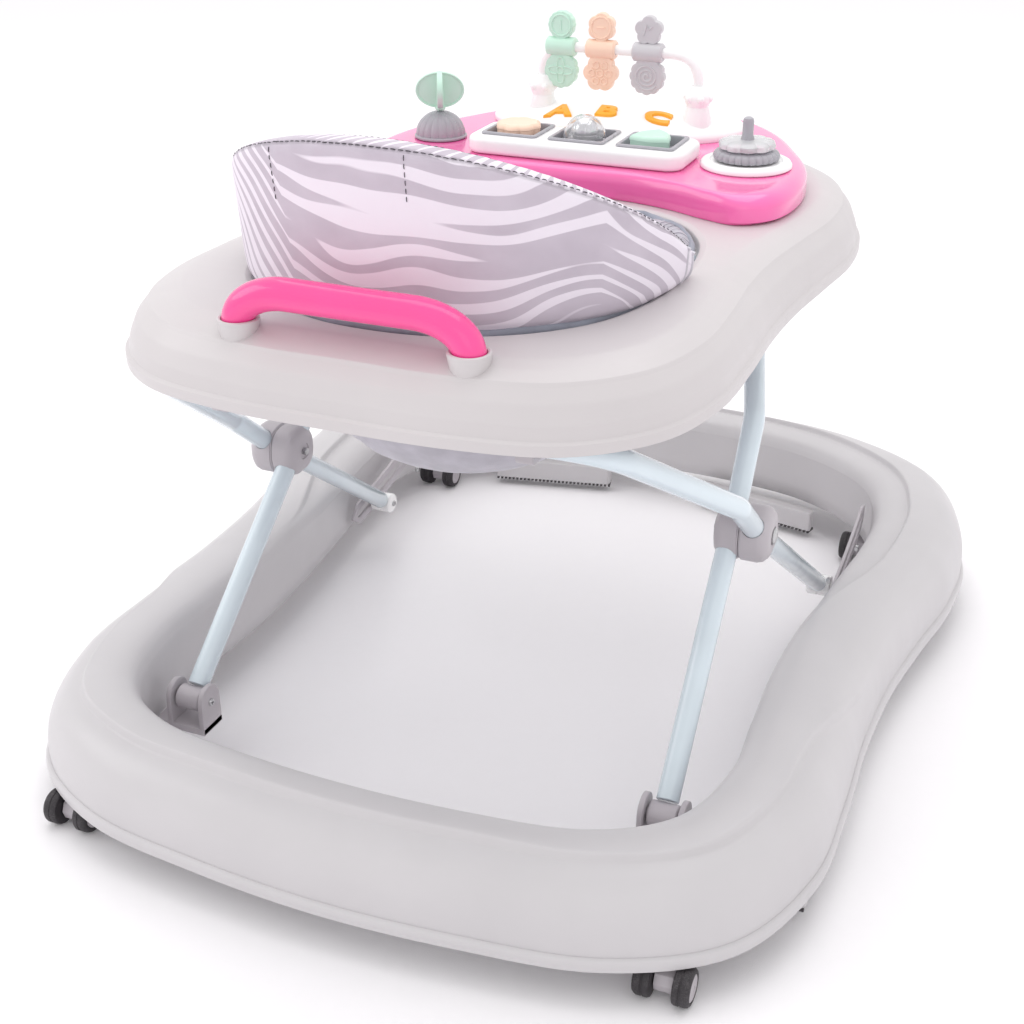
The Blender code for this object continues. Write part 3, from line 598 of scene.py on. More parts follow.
def swept(name: str, path: Sequence[Vector], radius: float, sides: int = 24, oval: float = 1.0,
        up: Vector | None = None) -> Piece:
    """Sweep a round or oval section along a path, with rounded-over flat ends.

    Args:
        name: The object's name.
        path: Centre line.
        radius: Radius across the oval's first direction.
        sides: Points round.
        oval: Second radius as a share of the first.
        up: First direction of the oval at the start.

    Returns:
        The object.
    """
    line = [Vector(p) for p in path]
    first = (line[1] - line[0]).normalized()
    across = (up - first * up.dot(first)).normalized() if up else first.orthogonal().normalized()
    loops = []
    for k, point in enumerate(line):
        tangent = (line[min(k + 1, len(line) - 1)] - line[max(k - 1, 0)]).normalized()
        across = (across - tangent * across.dot(tangent)).normalized()
        other = tangent.cross(across)
        loops.append([point + across * a + other * b * oval for a, b in around(radius, sides)])
    return loft(name, loops)


def extruded(name: str, outline: Sequence[Pair], span: Pair, axis: Axis,
        bevel: float = 0.0) -> Piece:
    """Extrude an outline along an axis, with its rims bevelled.

    Args:
        name: The object's name.
        outline: Points in the other two directions, in order.
        span: Low and high ends along the axis.
        axis: The axis.
        bevel: Width of the rims' bevel.

    Returns:
        The object.
    """
    loops = [[axis.lay(a, b, along) for a, b in outline] for along in span]
    made = loft(name, loops, sharp=25.0)
    if bevel:
        rounded(made, bevel)
    return made


def rounded(piece: Piece, width: float, segments: int = 3, angle: float = 40.0) -> None:
    """Bevel a piece's sharp edges for good.

    Args:
        piece: The piece.
        width: Bevel width.
        segments: Steps across the bevel.
        angle: Edges over this angle in degrees are bevelled.
    """
    shape = bmesh.new()
    shape.from_mesh(piece.data)
    limit = math.radians(angle)
    edges = [e for e in shape.edges if e.is_manifold and e.calc_face_angle(0) > limit]
    bmesh.ops.bevel(shape, geom=edges, offset=width, offset_type="OFFSET", segments=segments,
        profile=0.5, affect="EDGES", clamp_overlap=True)
    shape.to_mesh(piece.data)
    shape.free()
    shaded(piece.data, 30)


def combine(piece: Piece, other: Piece, operation: str) -> None:
    """Join other to piece or cut it away, for good, and remove other.

    Args:
        piece: The piece that stays.
        other: The tool shape.
        operation: UNION, DIFFERENCE or INTERSECT.
    """
    change = piece.modifiers.new("join", "BOOLEAN")
    change.operation = operation
    change.object = other
    settle(piece)
    bpy.data.objects.remove(other)


def settle(piece: Piece) -> None:
    """Make a piece's modifiers part of its mesh."""
    graph = bpy.context.evaluated_depsgraph_get()
    old = piece.data
    mesh = bpy.data.meshes.new_from_object(piece.evaluated_get(graph), depsgraph=graph)
    piece.modifiers.clear()
    piece.data = mesh
    name = old.name
    bpy.data.meshes.remove(old)
    mesh.name = name


def smoothed(piece: Piece, levels: int = 1) -> None:
    """Subdivide a piece smoothly, for good."""
    change = piece.modifiers.new("fine", "SUBSURF")
    change.levels = levels
    change.render_levels = levels
    settle(piece)
    piece.data.shade_smooth()


def joined(name: str, parts: Sequence[Piece]) -> Piece:
    """Put several shapes into one mesh object and remove them.

    Args:
        name: The new object's name.
        parts: The shapes.

    Returns:
        The object.
    """
    shape = bmesh.new()
    for part in parts:
        shape.from_mesh(part.data)
    mesh = bpy.data.meshes.new(name)
    shape.to_mesh(mesh)
    shape.free()
    shaded(mesh, 35)
    for part in parts:
        bpy.data.objects.remove(part)
    return placed(name, mesh)


def spline_spot(ends: Sequence[Vector], t: float) -> Vector:
    """The spot a share t of the way between the middle two of four points of a spline."""
    before, here, after, later = ends
    return 0.5 * (2 * here + (after - before) * t + (2 * before - 5 * here + 4 * after - later) * t
        ** 2 + (3 * here - before - 3 * after + later) * t ** 3)


def closed_spline(points: Sequence[Sequence[float]], per_span: int) -> list[Vector]:
    """Points of the closed spline through the given points.

    Args:
        points: The points, flat or in space.
        per_span: Points for each stretch between two of them.

    Returns:
        The spline's points.
    """
    found = []
    for k in range(len(points)):
        ends = [Vector(points[(k + n) % len(points)]) for n in (-1, 0, 1, 2)]
        found += [spline_spot(ends, step / per_span) for step in range(per_span)]
    return found


def mirrored(half: Outline) -> Outline:
    """Close an outline given from the rear middle to the front middle."""
    return half + tuple((-x, y) for x, y in reversed(half[1:-1]))


def eased(value: float, low: float, high: float) -> float:
    """Go smoothly from 0 at low to 1 at high; high may be below low."""
    share = min(1.0, max(0.0, (value - low) / (high - low)))
    return share * share * (3 - 2 * share)


def bent_path(points: Sequence[Sequence[float]], radius: float, steps: int = 10) -> list[Vector]:
    """Replace each inner corner of a path by an arc.

    Args:
        points: The path's corners.
        radius: Bend radius.
        steps: Pieces in each arc.

    Returns:
        The finer path.
    """
    corners = [Vector(p) for p in points]
    path = [corners[0]]
    for before, here, after in zip(corners, corners[1:], corners[2:]):
        back, ahead = (before - here).normalized(), (after - here).normalized()
        half = back.angle(ahead) / 2
        limit = (0.8 if before is corners[0] else 0.45) * (before - here).length
        reach = min(radius / math.tan(half), limit)
        for k in range(steps + 1):
            t = k / steps
            path.append(here + back * reach * (1 - t) ** 2 + ahead * reach * t ** 2)
    path.append(corners[-1])
    return path


def filleted(corners: Sequence[tuple[float, float, float]], steps: int = 4) -> list[Vector]:
    """Round a flat closed section's corners.

    Args:
        corners: Each corner as across, height and fillet radius; radius 0 stays sharp.
        steps: Pieces in each fillet.

    Returns:
        The section's points.
    """
    found = []
    count = len(corners)
    for k, (across, height, radius) in enumerate(corners):
        here = Vector((across, height))
        if radius == 0:
            found.append(here)
            continue
        back = Vector(corners[k - 1][:2]) - here
        ahead = Vector(corners[(k + 1) % count][:2]) - here
        half = back.angle(ahead) / 2
        reach = min(radius / max(math.tan(half), 0.05), 0.45 * back.length, 0.45 * ahead.length)
        for step in range(steps + 1):
            t = step / steps
            point = here + back.normalized() * reach * (1 - t) ** 2
            found.append(point + ahead.normalized() * reach * t ** 2)
    return found


def dress(piece: Piece, finish: Finish, body: str, slot: str = "",
        stands_for: Sequence[str] = ()) -> Piece:
    """Give a piece its finish and its CAD body, and hide the nodes it stands for.

    Args:
        piece: The piece, at the origin.
        finish: Its finish.
        body: The CAD body that it rides on.
        slot: The record's material slot; not used.
        stands_for: CAD nodes that it replaces.

    Returns:
        The piece.
    """
    piece.data.materials.clear()
    piece.data.materials.append(finish.material())
    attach(piece, body)
    if stands_for:
        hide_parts(*stands_for)
    LOG.info("%s: %d faces, on %s", piece.name, len(piece.data.polygons), body)
    return piece


# ---------------------------------------------------------------- repeats


@dataclass
class Spread:
    """A small shape set out at many places by a Geometry Nodes tree.

    Attributes:
        name: Name of the result.
        unit: The small shape, round the origin, +Z out of the surface and +X along the row.
        spots: Where each one sits.
        facing: The direction out of the surface at each spot.
        along: The direction of the row at each spot.
        size: Scale of the small shape.
    """

    name: str
    unit: Piece
    spots: list[Vector] = field(default_factory=list)
    facing: list[Vector] = field(default_factory=list)
    along: list[Vector] = field(default_factory=list)
    size: float = 1.0

    def put(self, spot: Sequence[float], facing: Sequence[float], along: Sequence[float]) -> None:
        """Add one place."""
        self.spots.append(Vector(spot))
        self.facing.append(Vector(facing).normalized())
        self.along.append(Vector(along).normalized())

    def _tree(self, finish: Finish) -> tuple[bpy.types.NodeTree, str, str]:
        """Build the tree.

        Args:
            finish: Finish of the small shapes.

        Returns:
            The tree, and the identifiers of its Unit and Size inputs.
        """
        tree = bpy.data.node_groups.new(f"spread_{self.name}", "GeometryNodeTree")
        face = tree.interface
        face.new_socket("Geometry", in_out="INPUT", socket_type="NodeSocketGeometry")
        unit = face.new_socket("Unit", in_out="INPUT", socket_type="NodeSocketObject")
        size = face.new_socket("Size", in_out="INPUT", socket_type="NodeSocketFloat")
        face.new_socket("Geometry", in_out="OUTPUT", socket_type="NodeSocketGeometry")
        add, link = tree.nodes.new, tree.links.new
        entry, leave = add("NodeGroupInput"), add("NodeGroupOutput")
        rotation = None
        for attribute, axis in (("facing", "Z"), ("along", "X")):
            read = add("GeometryNodeInputNamedAttribute")
            read.data_type = "FLOAT_VECTOR"
            read.inputs["Name"].default_value = attribute
            align = add("FunctionNodeAlignRotationToVector")
            align.axis = axis
            if rotation is not None:
                align.pivot_axis = "Z"
                link(rotation, align.inputs["Rotation"])
            link(read.outputs["Attribute"], align.inputs["Vector"])
            rotation = align.outputs["Rotation"]
        shape = add("GeometryNodeObjectInfo")
        link(entry.outputs["Unit"], shape.inputs["Object"])
        place = add("GeometryNodeInstanceOnPoints")
        link(entry.outputs["Geometry"], place.inputs["Points"])
        link(shape.outputs["Geometry"], place.inputs["Instance"])
        link(rotation, place.inputs["Rotation"])
        link(entry.outputs["Size"], place.inputs["Scale"])
        real, paint = add("GeometryNodeRealizeInstances"), add("GeometryNodeSetMaterial")
        paint.inputs["Material"].default_value = finish.material()
        link(place.outputs["Instances"], real.inputs["Geometry"])
        link(real.outputs["Geometry"], paint.inputs["Geometry"])
        link(paint.outputs["Geometry"], leave.inputs["Geometry"])
        return tree, unit.identifier, size.identifier

    def bake(self, finish: Finish) -> Piece:
        """Turn the set-out shapes into one plain mesh object.

        Args:
            finish: Finish of the small shapes.

        Returns:
            The object.
        """
        cloud = bpy.data.meshes.new(self.name)
        cloud.from_pydata([tuple(p) for p in self.spots], [], [])
        for attribute, vectors in (("facing", self.facing), ("along", self.along)):
            data = cloud.attributes.new(attribute, "FLOAT_VECTOR", "POINT").data
            data.foreach_set("vector", [c for v in vectors for c in v])
        made = placed(self.name, cloud)
        tree, unit, size = self._tree(finish)
        change = made.modifiers.new("spread", "NODES")
        change.node_group = tree
        change[unit] = self.unit
        change[size] = self.size
        settle(made)
        for attribute in ("facing", "along"):
            if attribute in made.data.attributes:
                made.data.attributes.remove(made.data.attributes[attribute])
        shaded(made.data, 30)
        bpy.data.objects.remove(self.unit)
        return made


def screw_head(radius: float = 0.0034) -> Piece:
    """A pan head with a cross recess, its seat at the origin.

    Args:
        radius: Radius of the head.

    Returns:
        The small shape.
    """
    rise = radius * 0.55
    profile = [(0, -rise), (radius, -rise), (radius, rise * 0.2), (radius * 0.86, rise * 0.75),
        (radius * 0.5, rise), (0, rise)]
    head = turned("screw_head", profile, (0, 0, 0), Axis.Z, 24)
    arm, reach = radius * 0.14, radius * 0.62
    plus = [(reach, -arm), (reach, arm), (arm, arm), (arm, reach), (-arm, reach), (-arm, arm),
        (-reach, arm), (-reach, -arm), (-arm, -arm), (-arm, -reach), (arm, -reach), (arm, -arm)]
    recess = extruded("screw_recess", plus, (rise * 0.2, rise * 1.6), Axis.Z)
    combine(head, recess, "DIFFERENCE")
    return head


def stitch(length: float = 0.003) -> Piece:
    """A short thread that dips at both ends, lying along X.

    Args:
        length: Length of the stitch.

    Returns:
        The small shape.
    """
    half = length / 2
    path = [Vector((-half, 0, -0.0004)), Vector((-half * 0.6, 0, 0.0001)), Vector((0, 0, 0.0002)),
        Vector((half * 0.6, 0, 0.0001)), Vector((half, 0, -0.0004))]
    return swept("stitch", path, 0.0003, 6)


# ---------------------------------------------------------------- base


@dataclass
class RingStation:
    """One cross section's place on a ring: its outer point, its inner point and the way in."""

    outer: Vector
    inner: Vector

    @property
    def width(self) -> float:
        """Distance from the outer point to the inner one."""
        return (self.inner - self.outer).length

    def point(self, across: float, height: float) -> Vector:
        """A point of the section in space."""
        spot = self.outer + (self.inner - self.outer).normalized() * across
        return Vector((spot.x, spot.y, height))


def stations(outer: Outline, inner: Outline, per_span: int) -> list[RingStation]:
    """Cross sections all round a ring, from the rear middle.

    Args:
        outer: Half of the outer outline.
        inner: Half of the inner outline.
        per_span: Sections for each stretch of the outlines.

    Returns:
        The sections' places.
    """
    far = closed_spline(mirrored(outer), per_span)
    near = closed_spline(mirrored(inner), per_span)
    return [RingStation(a, b) for a, b in zip(far, near)]


def spread_line(keys: Sequence[Pair], steps: int) -> list[Vector]:
    """Evenly spaced points of the smooth open line through some points.

    Args:
        keys: The points as (across, height).
        steps: Number of points.

    Returns:
        The points.
    """
    ends = [Vector(key) for key in (keys[0], *keys, keys[-1])]
    fine = [spline_spot(ends[k - 1:k + 3], step / 12) for k in range(1,
        len(ends) - 2) for step in range(12)] + [ends[-1]]
    runs = run_lengths(fine)
    places = np.linspace(0, runs[-1], steps)
    across = np.interp(places, runs, [p.x for p in fine])
    height = np.interp(places, runs, [p.y for p in fine])
    return [Vector((float(a), float(h))) for a, h in zip(across, height)]


@dataclass
class BaseRing:
    """The hollow base ring, its housings, slide guides, grips and screws."""

    body: str = "base"
    rim_z: float = 0.0285
    wall: float = 0.003
    outer: Outline = tuple(mm((0, 407), (100, 401), (195, 385), (270, 338), (304, 255), (307, 170),
        (304, 85), (307, 0), (318, -80), (331, -160), (329, -240), (293, -322), (207, -379),
        (105, -402), (0, -407)))
    inner: Outline = tuple(mm((0, 342), (85, 338), (160, 326), (212, 290), (231, 225), (229, 160),
        (226, 85), (230, 10), (238, -70), (247, -150), (246, -215), (222, -280), (158, -326),
        (80, -343), (0, -346)))
    rear_step_in: float = 0.034     # from the outer edge
    front_step_in: float = 0.031    # from the inner edge
    step_depth: float = 0.0052
    step_half: float = 0.0016

    def _crown(self, width: float) -> list[Pair]:
        """Key points of the section's top, from the outer wall to the inner edge."""
        return [(0.003, 0.04), (0.0032, 0.055), (0.0058, 0.069), (0.0115, 0.0815), (0.019, 0.0895),
            (0.028, 0.0942), (width - 0.026, 0.0978), (width - 0.013, 0.0968),
            (width - 0.004, 0.0918), (width - 0.0002, 0.083)]

    def _steps(self, place: RingStation) -> Colour:
        """Where the two moulded steps are on a section, and how deep.

        Returns:
            The rear step's distance from the outer edge and its depth, then the front step's
            distance from the inner edge and its depth.
        """
        y = place.outer.y
        rear_share = eased(y, 0.07, 0.21)
        front_share = eased(y, 0.01, -0.12)
        rear = 0.0095 + (self.rear_step_in - 0.0095) * rear_share
        front = 0.0062 + (self.front_step_in - 0.0062) * front_share
        rear_deep = self.step_depth * eased(y, 0.05, 0.13)
        front_deep = self.step_depth * eased(y, 0.02, -0.05)
        return rear, rear_deep, front, front_deep

    def _section(self, place: RingStation) -> list[Vector]:
        """All points of one cross section, outside first, then the hollow underside."""
        width = place.width
        rear, rear_deep, front, front_deep = self._steps(place)
        line = spread_line(self._crown(width), 60)
        runs = run_lengths(line)
        across = np.array([p.x for p in line])
        at_rear = float(np.interp(rear, across, runs))
        at_front = float(np.interp(width - front, across, runs))
        half = self.step_half
        breaks = ((0.0, at_rear - 2 * half, 12), (at_rear - half, at_rear + half, 6),
            (at_rear + 2 * half, at_front - 2 * half, 10), (at_front - half, at_front + half, 6),
            (at_front + 2 * half, runs[-1], 9))
        points = [(0.0, self.rim_z), (-0.0004, self.rim_z + 0.004), (0.0, self.rim_z + 0.0075),
            (0.0012, self.rim_z + 0.0092), (0.0029, self.rim_z + 0.0098)]
        for low, high, count in breaks:
            for run in np.linspace(low, high, count):
                t = float(np.interp(run, runs, across))
                z = float(np.interp(run, runs, [p.y for p in line]))
                drop = rear_deep * eased(run, at_rear + half, at_rear - half)
                drop += front_deep * eased(run, at_front - half, at_front + half)
                points.append((t, z - drop))
        points += [(width, 0.078), (width, 0.045), (width, self.rim_z + 0.0015),
            (width - 0.0008, self.rim_z + 0.0008), (width - self.wall, self.rim_z + 0.001)]
        points += [(width - 0.0035, 0.0775), (width - 0.008, 0.0885), (width - 0.03, 0.0915),
            (0.03, 0.086), (0.013, 0.072), (0.0065, 0.055), (0.0034, self.rim_z)]
        return [place.point(t, z) for t, z in points]

    def build_shell(self) -> Piece:
        """The ring itself."""
        loops = [self._section(place) for place in stations(self.outer, self.inner, 8)]
        return loft("base_ring", loops, closed=True, sharp=50.0)

    def build_housing(self, side: str) -> Piece:
        """The bracket that holds a rear leg's foot: two round-topped ears on a flat floor."""
        low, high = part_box(f"leg_bracket_{side}")
        middle = middle_of(f"rear_foot_{side}")
        ears = []
        thick = 0.0042
        reach = 0.0165
        for turn in (-1, 1):
            span = sorted((middle.x + turn * (reach - thick), middle.x + turn * reach))
            arc = [(middle.y + 0.0125 * math.cos(a),
                middle.z + 0.002 + 0.0125 * math.sin(a)) for a in (math.pi * k / 12 for k in
                range(13))]
            outline = [(middle.y + 0.013, low.z), *arc, (middle.y - 0.013, low.z)]
            ears.append(extruded("ear", outline, span, Axis.X, 0.0007))
        floor = [(low.x, low.y), (high.x, low.y), (high.x, high.y), (low.x, high.y)]
        ears.append(extruded("floor", floor, (low.z, low.z + 0.006), Axis.Z, 0.0008))
        return joined(f"leg_housing_{side}", ears)

    def build_guide(self, side: str) -> Piece:
        """The slide guide, with its edges softened."""
        return softened_copy(f"slide_guide_{side}", f"slide_plate_{side}", 0.0006)

    def build_grips(self) -> tuple[Piece, Piece]:
        """The grip blocks under the rim and their ribbed rubber soles.

        Returns:
            The blocks and the soles.
        """
        blocks = []
        rib = extruded("rib", mm((-1.1, -6), (1.1, -6), (1.1, 6), (-1.1, 6)), (-0.0016, 0.0008),
            Axis.Z, 0.0004)
        soles = Spread("grip_soles", rib)
        for end, count in (("front", 30), ("rear", 8)):
            for side, sign in SIDES:
                low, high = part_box(f"{end}_grip_{side}")
                blocks.append(self._grip_block(f"{end}_grip_{side}", low.z + 0.0022, high.z))
                self._sole(soles, end, sign, low, high, count)
        return joined("grip_blocks", blocks), soles.bake(GRIP_RUBBER)

    def _grip_block(self, node: str, low_z: float, high_z: float) -> Piece:
        """A grip's block, drawn in a little from its CAD solid and raised off its sole."""
        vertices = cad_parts[node].data.vertices
        corners = sorted({(round(v.co.x, 5), round(v.co.y, 5)) for v in vertices})
        middle = Vector((sum(c[0] for c in corners), sum(c[1] for c in corners))) / len(corners)
        ring = sorted(corners, key=lambda c: math.atan2(c[1] - middle.y, c[0] - middle.x))
        inset = [tuple(middle + (Vector(c) - middle) * 0.985) for c in ring]
        return extruded("block", inset, (low_z, high_z), Axis.Z, 0.0008)

    def _sole(self, soles: Spread, end: str, sign: int, low: Vector, high: Vector,
            count: int) -> None:
        """Set out the ribs of one grip's rubber sole."""
        turn = math.radians(12.0) * sign if end == "front" else math.radians(90.0)
        row = Vector((math.cos(turn), math.sin(turn), 0))
        middle = Vector(((low.x + high.x) / 2, (low.y + high.y) / 2, low.z + 0.0016))
        length = 0.121 if end == "front" else 0.036
        for k in range(count):
            spot = middle + row * length * (k / (count - 1) - 0.5)
            soles.put(spot, (0, 0, 1), row)

    def build_screws(self) -> Piece:
        """Screws through the guides and brackets into the ring's wall."""
        screws = Spread("base_screws", screw_head(0.0032))
        for side, sign in SIDES:
            low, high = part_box(f"slide_guide_{side}")
            middle_z = (low.z + high.z) / 2
            for y, z in ((low.y + 0.0065, middle_z - 0.022), (high.y - 0.007, high.z - 0.012)):
                screws.put((low.x if sign > 0 else high.x, y, z), (-sign, 0, 0), (0, 1, 0.3))
            low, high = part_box(f"leg_bracket_{side}")
            x = low.x if sign > 0 else high.x
            screws.put((x, (low.y + high.y) / 2, high.z - 0.0105), (-sign, 0, 0), (0, 1, 0.4))
        return screws.bake(STEEL)

    def build_and_dress(self) -> None:
        """Make every piece of the base and give it its finish."""
        dress(self.build_shell(), BASE_PLASTIC, self.body, "base_shell", ["base_shell"])
        for side, sign in SIDES:
            dress(self.build_housing(side), FITTING_PLASTIC, self.body, "grey_fitting",
                [f"leg_bracket_{side}"])
            dress(self.build_guide(side), FITTING_PLASTIC, self.body, "grey_fitting",
                [f"slide_guide_{side}"])
        blocks, soles = self.build_grips()
        grips = [f"{end}_grip_{side}" for end in ("front", "rear") for side, _ in SIDES]
        dress(blocks, BASE_PLASTIC, self.body, "rubber", grips)
        dress(soles, GRIP_RUBBER, self.body, "rubber")
        dress(self.build_screws(), STEEL, self.body, "steel")
        for corner in CORNERS:
            piece = softened_copy(f"caster_post_{corner}", f"caster_cup_{corner}", 0.0007)
            dress(piece, FITTING_PLASTIC, self.body, "grey_fitting", [f"caster_post_{corner}"])


def softened_copy(node: str, name: str, width: float) -> Piece:
    """A copy of a CAD node with its doubles merged and its edges bevelled.

    Args:
        node: The CAD node.
        name: The copy's name.
        width: Bevel width.

    Returns:
        The copy.
    """
    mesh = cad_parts[node].data.copy()
    mesh.materials.clear()
    shape = bmesh.new()
    shape.from_mesh(mesh)
    bmesh.ops.remove_doubles(shape, verts=shape.verts, dist=1e-5)
    bmesh.ops.dissolve_limit(shape, angle_limit=math.radians(1.0), verts=shape.verts,
        edges=shape.edges)
    shape.to_mesh(mesh)
    shape.free()
    made = placed(name, mesh)
    rounded(made, width, 3)
    return made


# ---------------------------------------------------------------- legs


@dataclass
class LegPair:
    """One pair of leg tubes, joined at the top by its rod, with its half of the hubs."""

    name: str
    body: str
    foot_x: float
    foot: Pair
    hub_x: float
    hub: Pair
    bend: Pair
    rod: Pair
    corner_x: float
    end_x: float
    hub_span: Pair
    tube_r: float = 0.00825
    start_gap: float = 0.0104
    hub_r: float = 0.0205
    bend_r: float = 0.03

    def path(self, sign: int) -> list[Vector]:
        """Centre line of a leg, from beside its foot to the middle of the top rod."""
        start = Vector((sign * self.foot_x, *self.foot))
        hub = Vector((sign * self.hub_x, *self.hub))
        start = start + (hub - start).normalized() * self.start_gap
        upper = [hub, (sign * (self.hub_x - 0.001), *self.bend), (sign * self.corner_x, *self.rod),
            (sign * self.end_x, *self.rod)]
        return [start] + bent_path(upper, self.bend_r, 12)

    def build_tube(self) -> Piece:
        """Both legs and the rod as the one bent tube that they are."""
        left, right = self.path(1), self.path(-1)
        made = swept(f"{self.name}_leg_tube", left + right[::-1], self.tube_r, 28)
        rounded(made, 0.0008, 2, 60.0)
        return made

    def build_hub(self, side: str, sign: int) -> Piece:
        """The clamp shell round the tube: a rounded barrel with a groove and a pressed face."""
        low, high = self.hub_span
        outside = self.name == "front"
        face, joint = (high, low) if outside else (low, high)
        inward = 1 if face > joint else -1
        r = self.hub_r
        profile = [(0, joint), (r - 0.001, joint), (r - 0.001, joint + inward * 0.0008),
            (r, joint + inward * 0.0014), (r, face - inward * 0.0085), (r - 0.0012,
            face - inward * 0.0045), (r - 0.0042, face - inward * 0.0014), (r - 0.0085, face),
            (0.0068, face), (0.0062, face - inward * 0.0012), (0, face - inward * 0.0012)]
        made = turned(f"{self.name}_clamp_{side}", [(a, sign * b) for a, b in profile],
            (0, *self.hub), Axis.X, 64, 2.5)
        sleeve = swept("sleeve", self.path(sign)[:4], self.tube_r + 0.0003, 28)
        combine(made, sleeve, "DIFFERENCE")
        shaded(made.data, 28)
        return made

    def build_and_dress(self) -> None:
        """Make the tube and the hub halves and give them their finishes."""
        nodes = [f"{self.name}_leg_{side}" for side, _ in SIDES] + [f"{self.name}_rod"]
        dress(self.build_tube(), TUBE_COAT, self.body, "leg_tube", nodes)
        for side, sign in SIDES:
            dress(self.build_hub(side, sign), FITTING_PLASTIC, self.body, "grey_fitting",
                [f"{self.name}_hub_{side}"])


@dataclass
class LegFittings:
    """What sits on the ends of the legs and through the hubs."""

    hub: Pair = (0.085, 0.201)
    shoe_r: float = 0.0095

    def build_shoe(self, side: str, sign: int) -> Piece:
        """The round white cap on a front leg's sliding end, with its pin."""
        low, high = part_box(f"slide_shoe_{side}")
        y, z = (low.y + high.y) / 2, (low.z + high.z) / 2
        inner, outer = (low.x, high.x) if sign > 0 else (high.x, low.x)
        face = inner + sign * 0.021
        r = self.shoe_r
        profile = [(0, inner), (r - 0.003, inner), (r - 0.0012, inner + sign * 0.0006),
            (r, inner + sign * 0.002), (r, inner + sign * 0.01), (r - 0.0006,
            inner + sign * 0.0104), (r - 0.0006, inner + sign * 0.0112), (r,
            inner + sign * 0.0116), (r, face - sign * 0.0008), (r - 0.0008, face), (0.003, face),
            (0.003, outer - sign * 0.0005), (0.0025, outer), (0, outer)]
        return turned(f"shoe_cap_{side}", profile, (0, y, z), Axis.X, 48)

    def build_foot(self, side: str) -> Piece:
        """The barrel on a rear leg's lower end, with its pin's ends."""
        middle = middle_of(f"rear_foot_{side}")
        profile = mm((0, -16), (2.4, -16), (3, -15.4), (3, -10.5), (8.5, -10.5), (9.5, -9.5),
            (9.5, 9.5), (8.5, 10.5), (3, 10.5), (3, 15.4), (2.4, 16), (0, 16))
        return turned(f"foot_barrel_{side}", profile, middle, Axis.X, 48)

    def build_pin(self, side: str, sign: int) -> Piece:
        """The hub's pin, with its domed head."""
        profile = mm((0, 174), (2.5, 174), (3, 174.5), (3, 219.3), (6.4, 219.3), (6.4, 219.9),
            (5.6, 220.8), (3.6, 221.4), (0, 221.5))
        return turned(f"hub_rivet_{side}", [(r, sign * a) for r, a in profile], (0, *self.hub),
            Axis.X, 40)

    def build_and_dress(self) -> None:
        """Make the caps, barrels and pins and give them their finishes."""
        screws = Spread("shoe_screws", screw_head(0.003))
        for side, sign in SIDES:
            dress(self.build_shoe(side, sign), WHITE_PLASTIC, "front_legs", "white_plastic",
                [f"slide_shoe_{side}"])
            dress(self.build_foot(side), FITTING_PLASTIC, "rear_legs", "grey_fitting",
                [f"rear_foot_{side}"])
            dress(self.build_pin(side, sign), STEEL, "front_legs", "steel", [f"hub_pin_{side}"])
            low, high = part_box(f"slide_shoe_{side}")
            inner = low.x if sign > 0 else high.x
            middle = middle_of(f"slide_shoe_{side}")
            screws.put((inner, middle.y, middle.z), (-sign, 0, 0), (0, 1, 1))
        dress(screws.bake(STEEL), STEEL, "front_legs", "steel")


# ---------------------------------------------------------------- casters


@dataclass
class Caster:
    """A twin-wheel swivel caster: its bevelled fork and its pair of tyred wheels."""

    corner: str
    radius: float = 0.0135
    face: float = 0.0182

    def build_wheels(self) -> tuple[Piece, Piece]:
        """The tyres on their axle, and the discs in their sides.

        Returns:
            The tyres and the discs.
        """
        axle = middle_of(f"wheel_pair_{self.corner}")
        r, face = self.radius, self.face
        half = [(0.0025, 0.0071), (0.0105, 0.0072), (r - 0.0008, 0.0078), (r, 0.0092), (r, 0.0118),
            (r - 0.0005, 0.0122), (r - 0.0005, 0.013), (r, 0.0134), (r, 0.0162),
            (r - 0.0006, 0.0178), (0.0118, 0.019), (0.0104, 0.0194), (0.0098, 0.019),
            (0.0094, face), (0, face)]
        profile = [(a, -b) for a, b in reversed(half)] + half
        tyres = turned(f"tyres_{self.corner}", profile, axle, Axis.X, 64)
        discs = []
        for sign in (-1, 1):
            disc = [(0, face - 0.0008), (0.0092, face - 0.0008), (0.0092, face + 0.0006),
                (0.0082, face + 0.0011), (0.005, face + 0.0007), (0.0042, face + 0.0012),
                (0.0022, face + 0.0013), (0.002, face + 0.0009), (0, face + 0.0009)]
            discs.append(turned("disc", [(a, sign * b) for a, b in disc], axle, Axis.X, 40))
        return tyres, joined(f"wheel_discs_{self.corner}", discs)

    def build_and_dress(self) -> None:
        """Make the caster and give it its finishes."""
        swivel, wheels = f"swivel_{self.corner}", f"wheels_{self.corner}"
        fork = softened_copy(f"caster_fork_{self.corner}", f"fork_{self.corner}", 0.0006)
        dress(fork, FITTING_PLASTIC, swivel, "grey_fitting", [f"caster_fork_{self.corner}"])
        tyres, discs = self.build_wheels()
        dress(tyres, TYRE_RUBBER, wheels, "tyre", [f"wheel_pair_{self.corner}"])
        dress(discs, FITTING_PLASTIC, wheels, "tyre")


# ---------------------------------------------------------------- tray


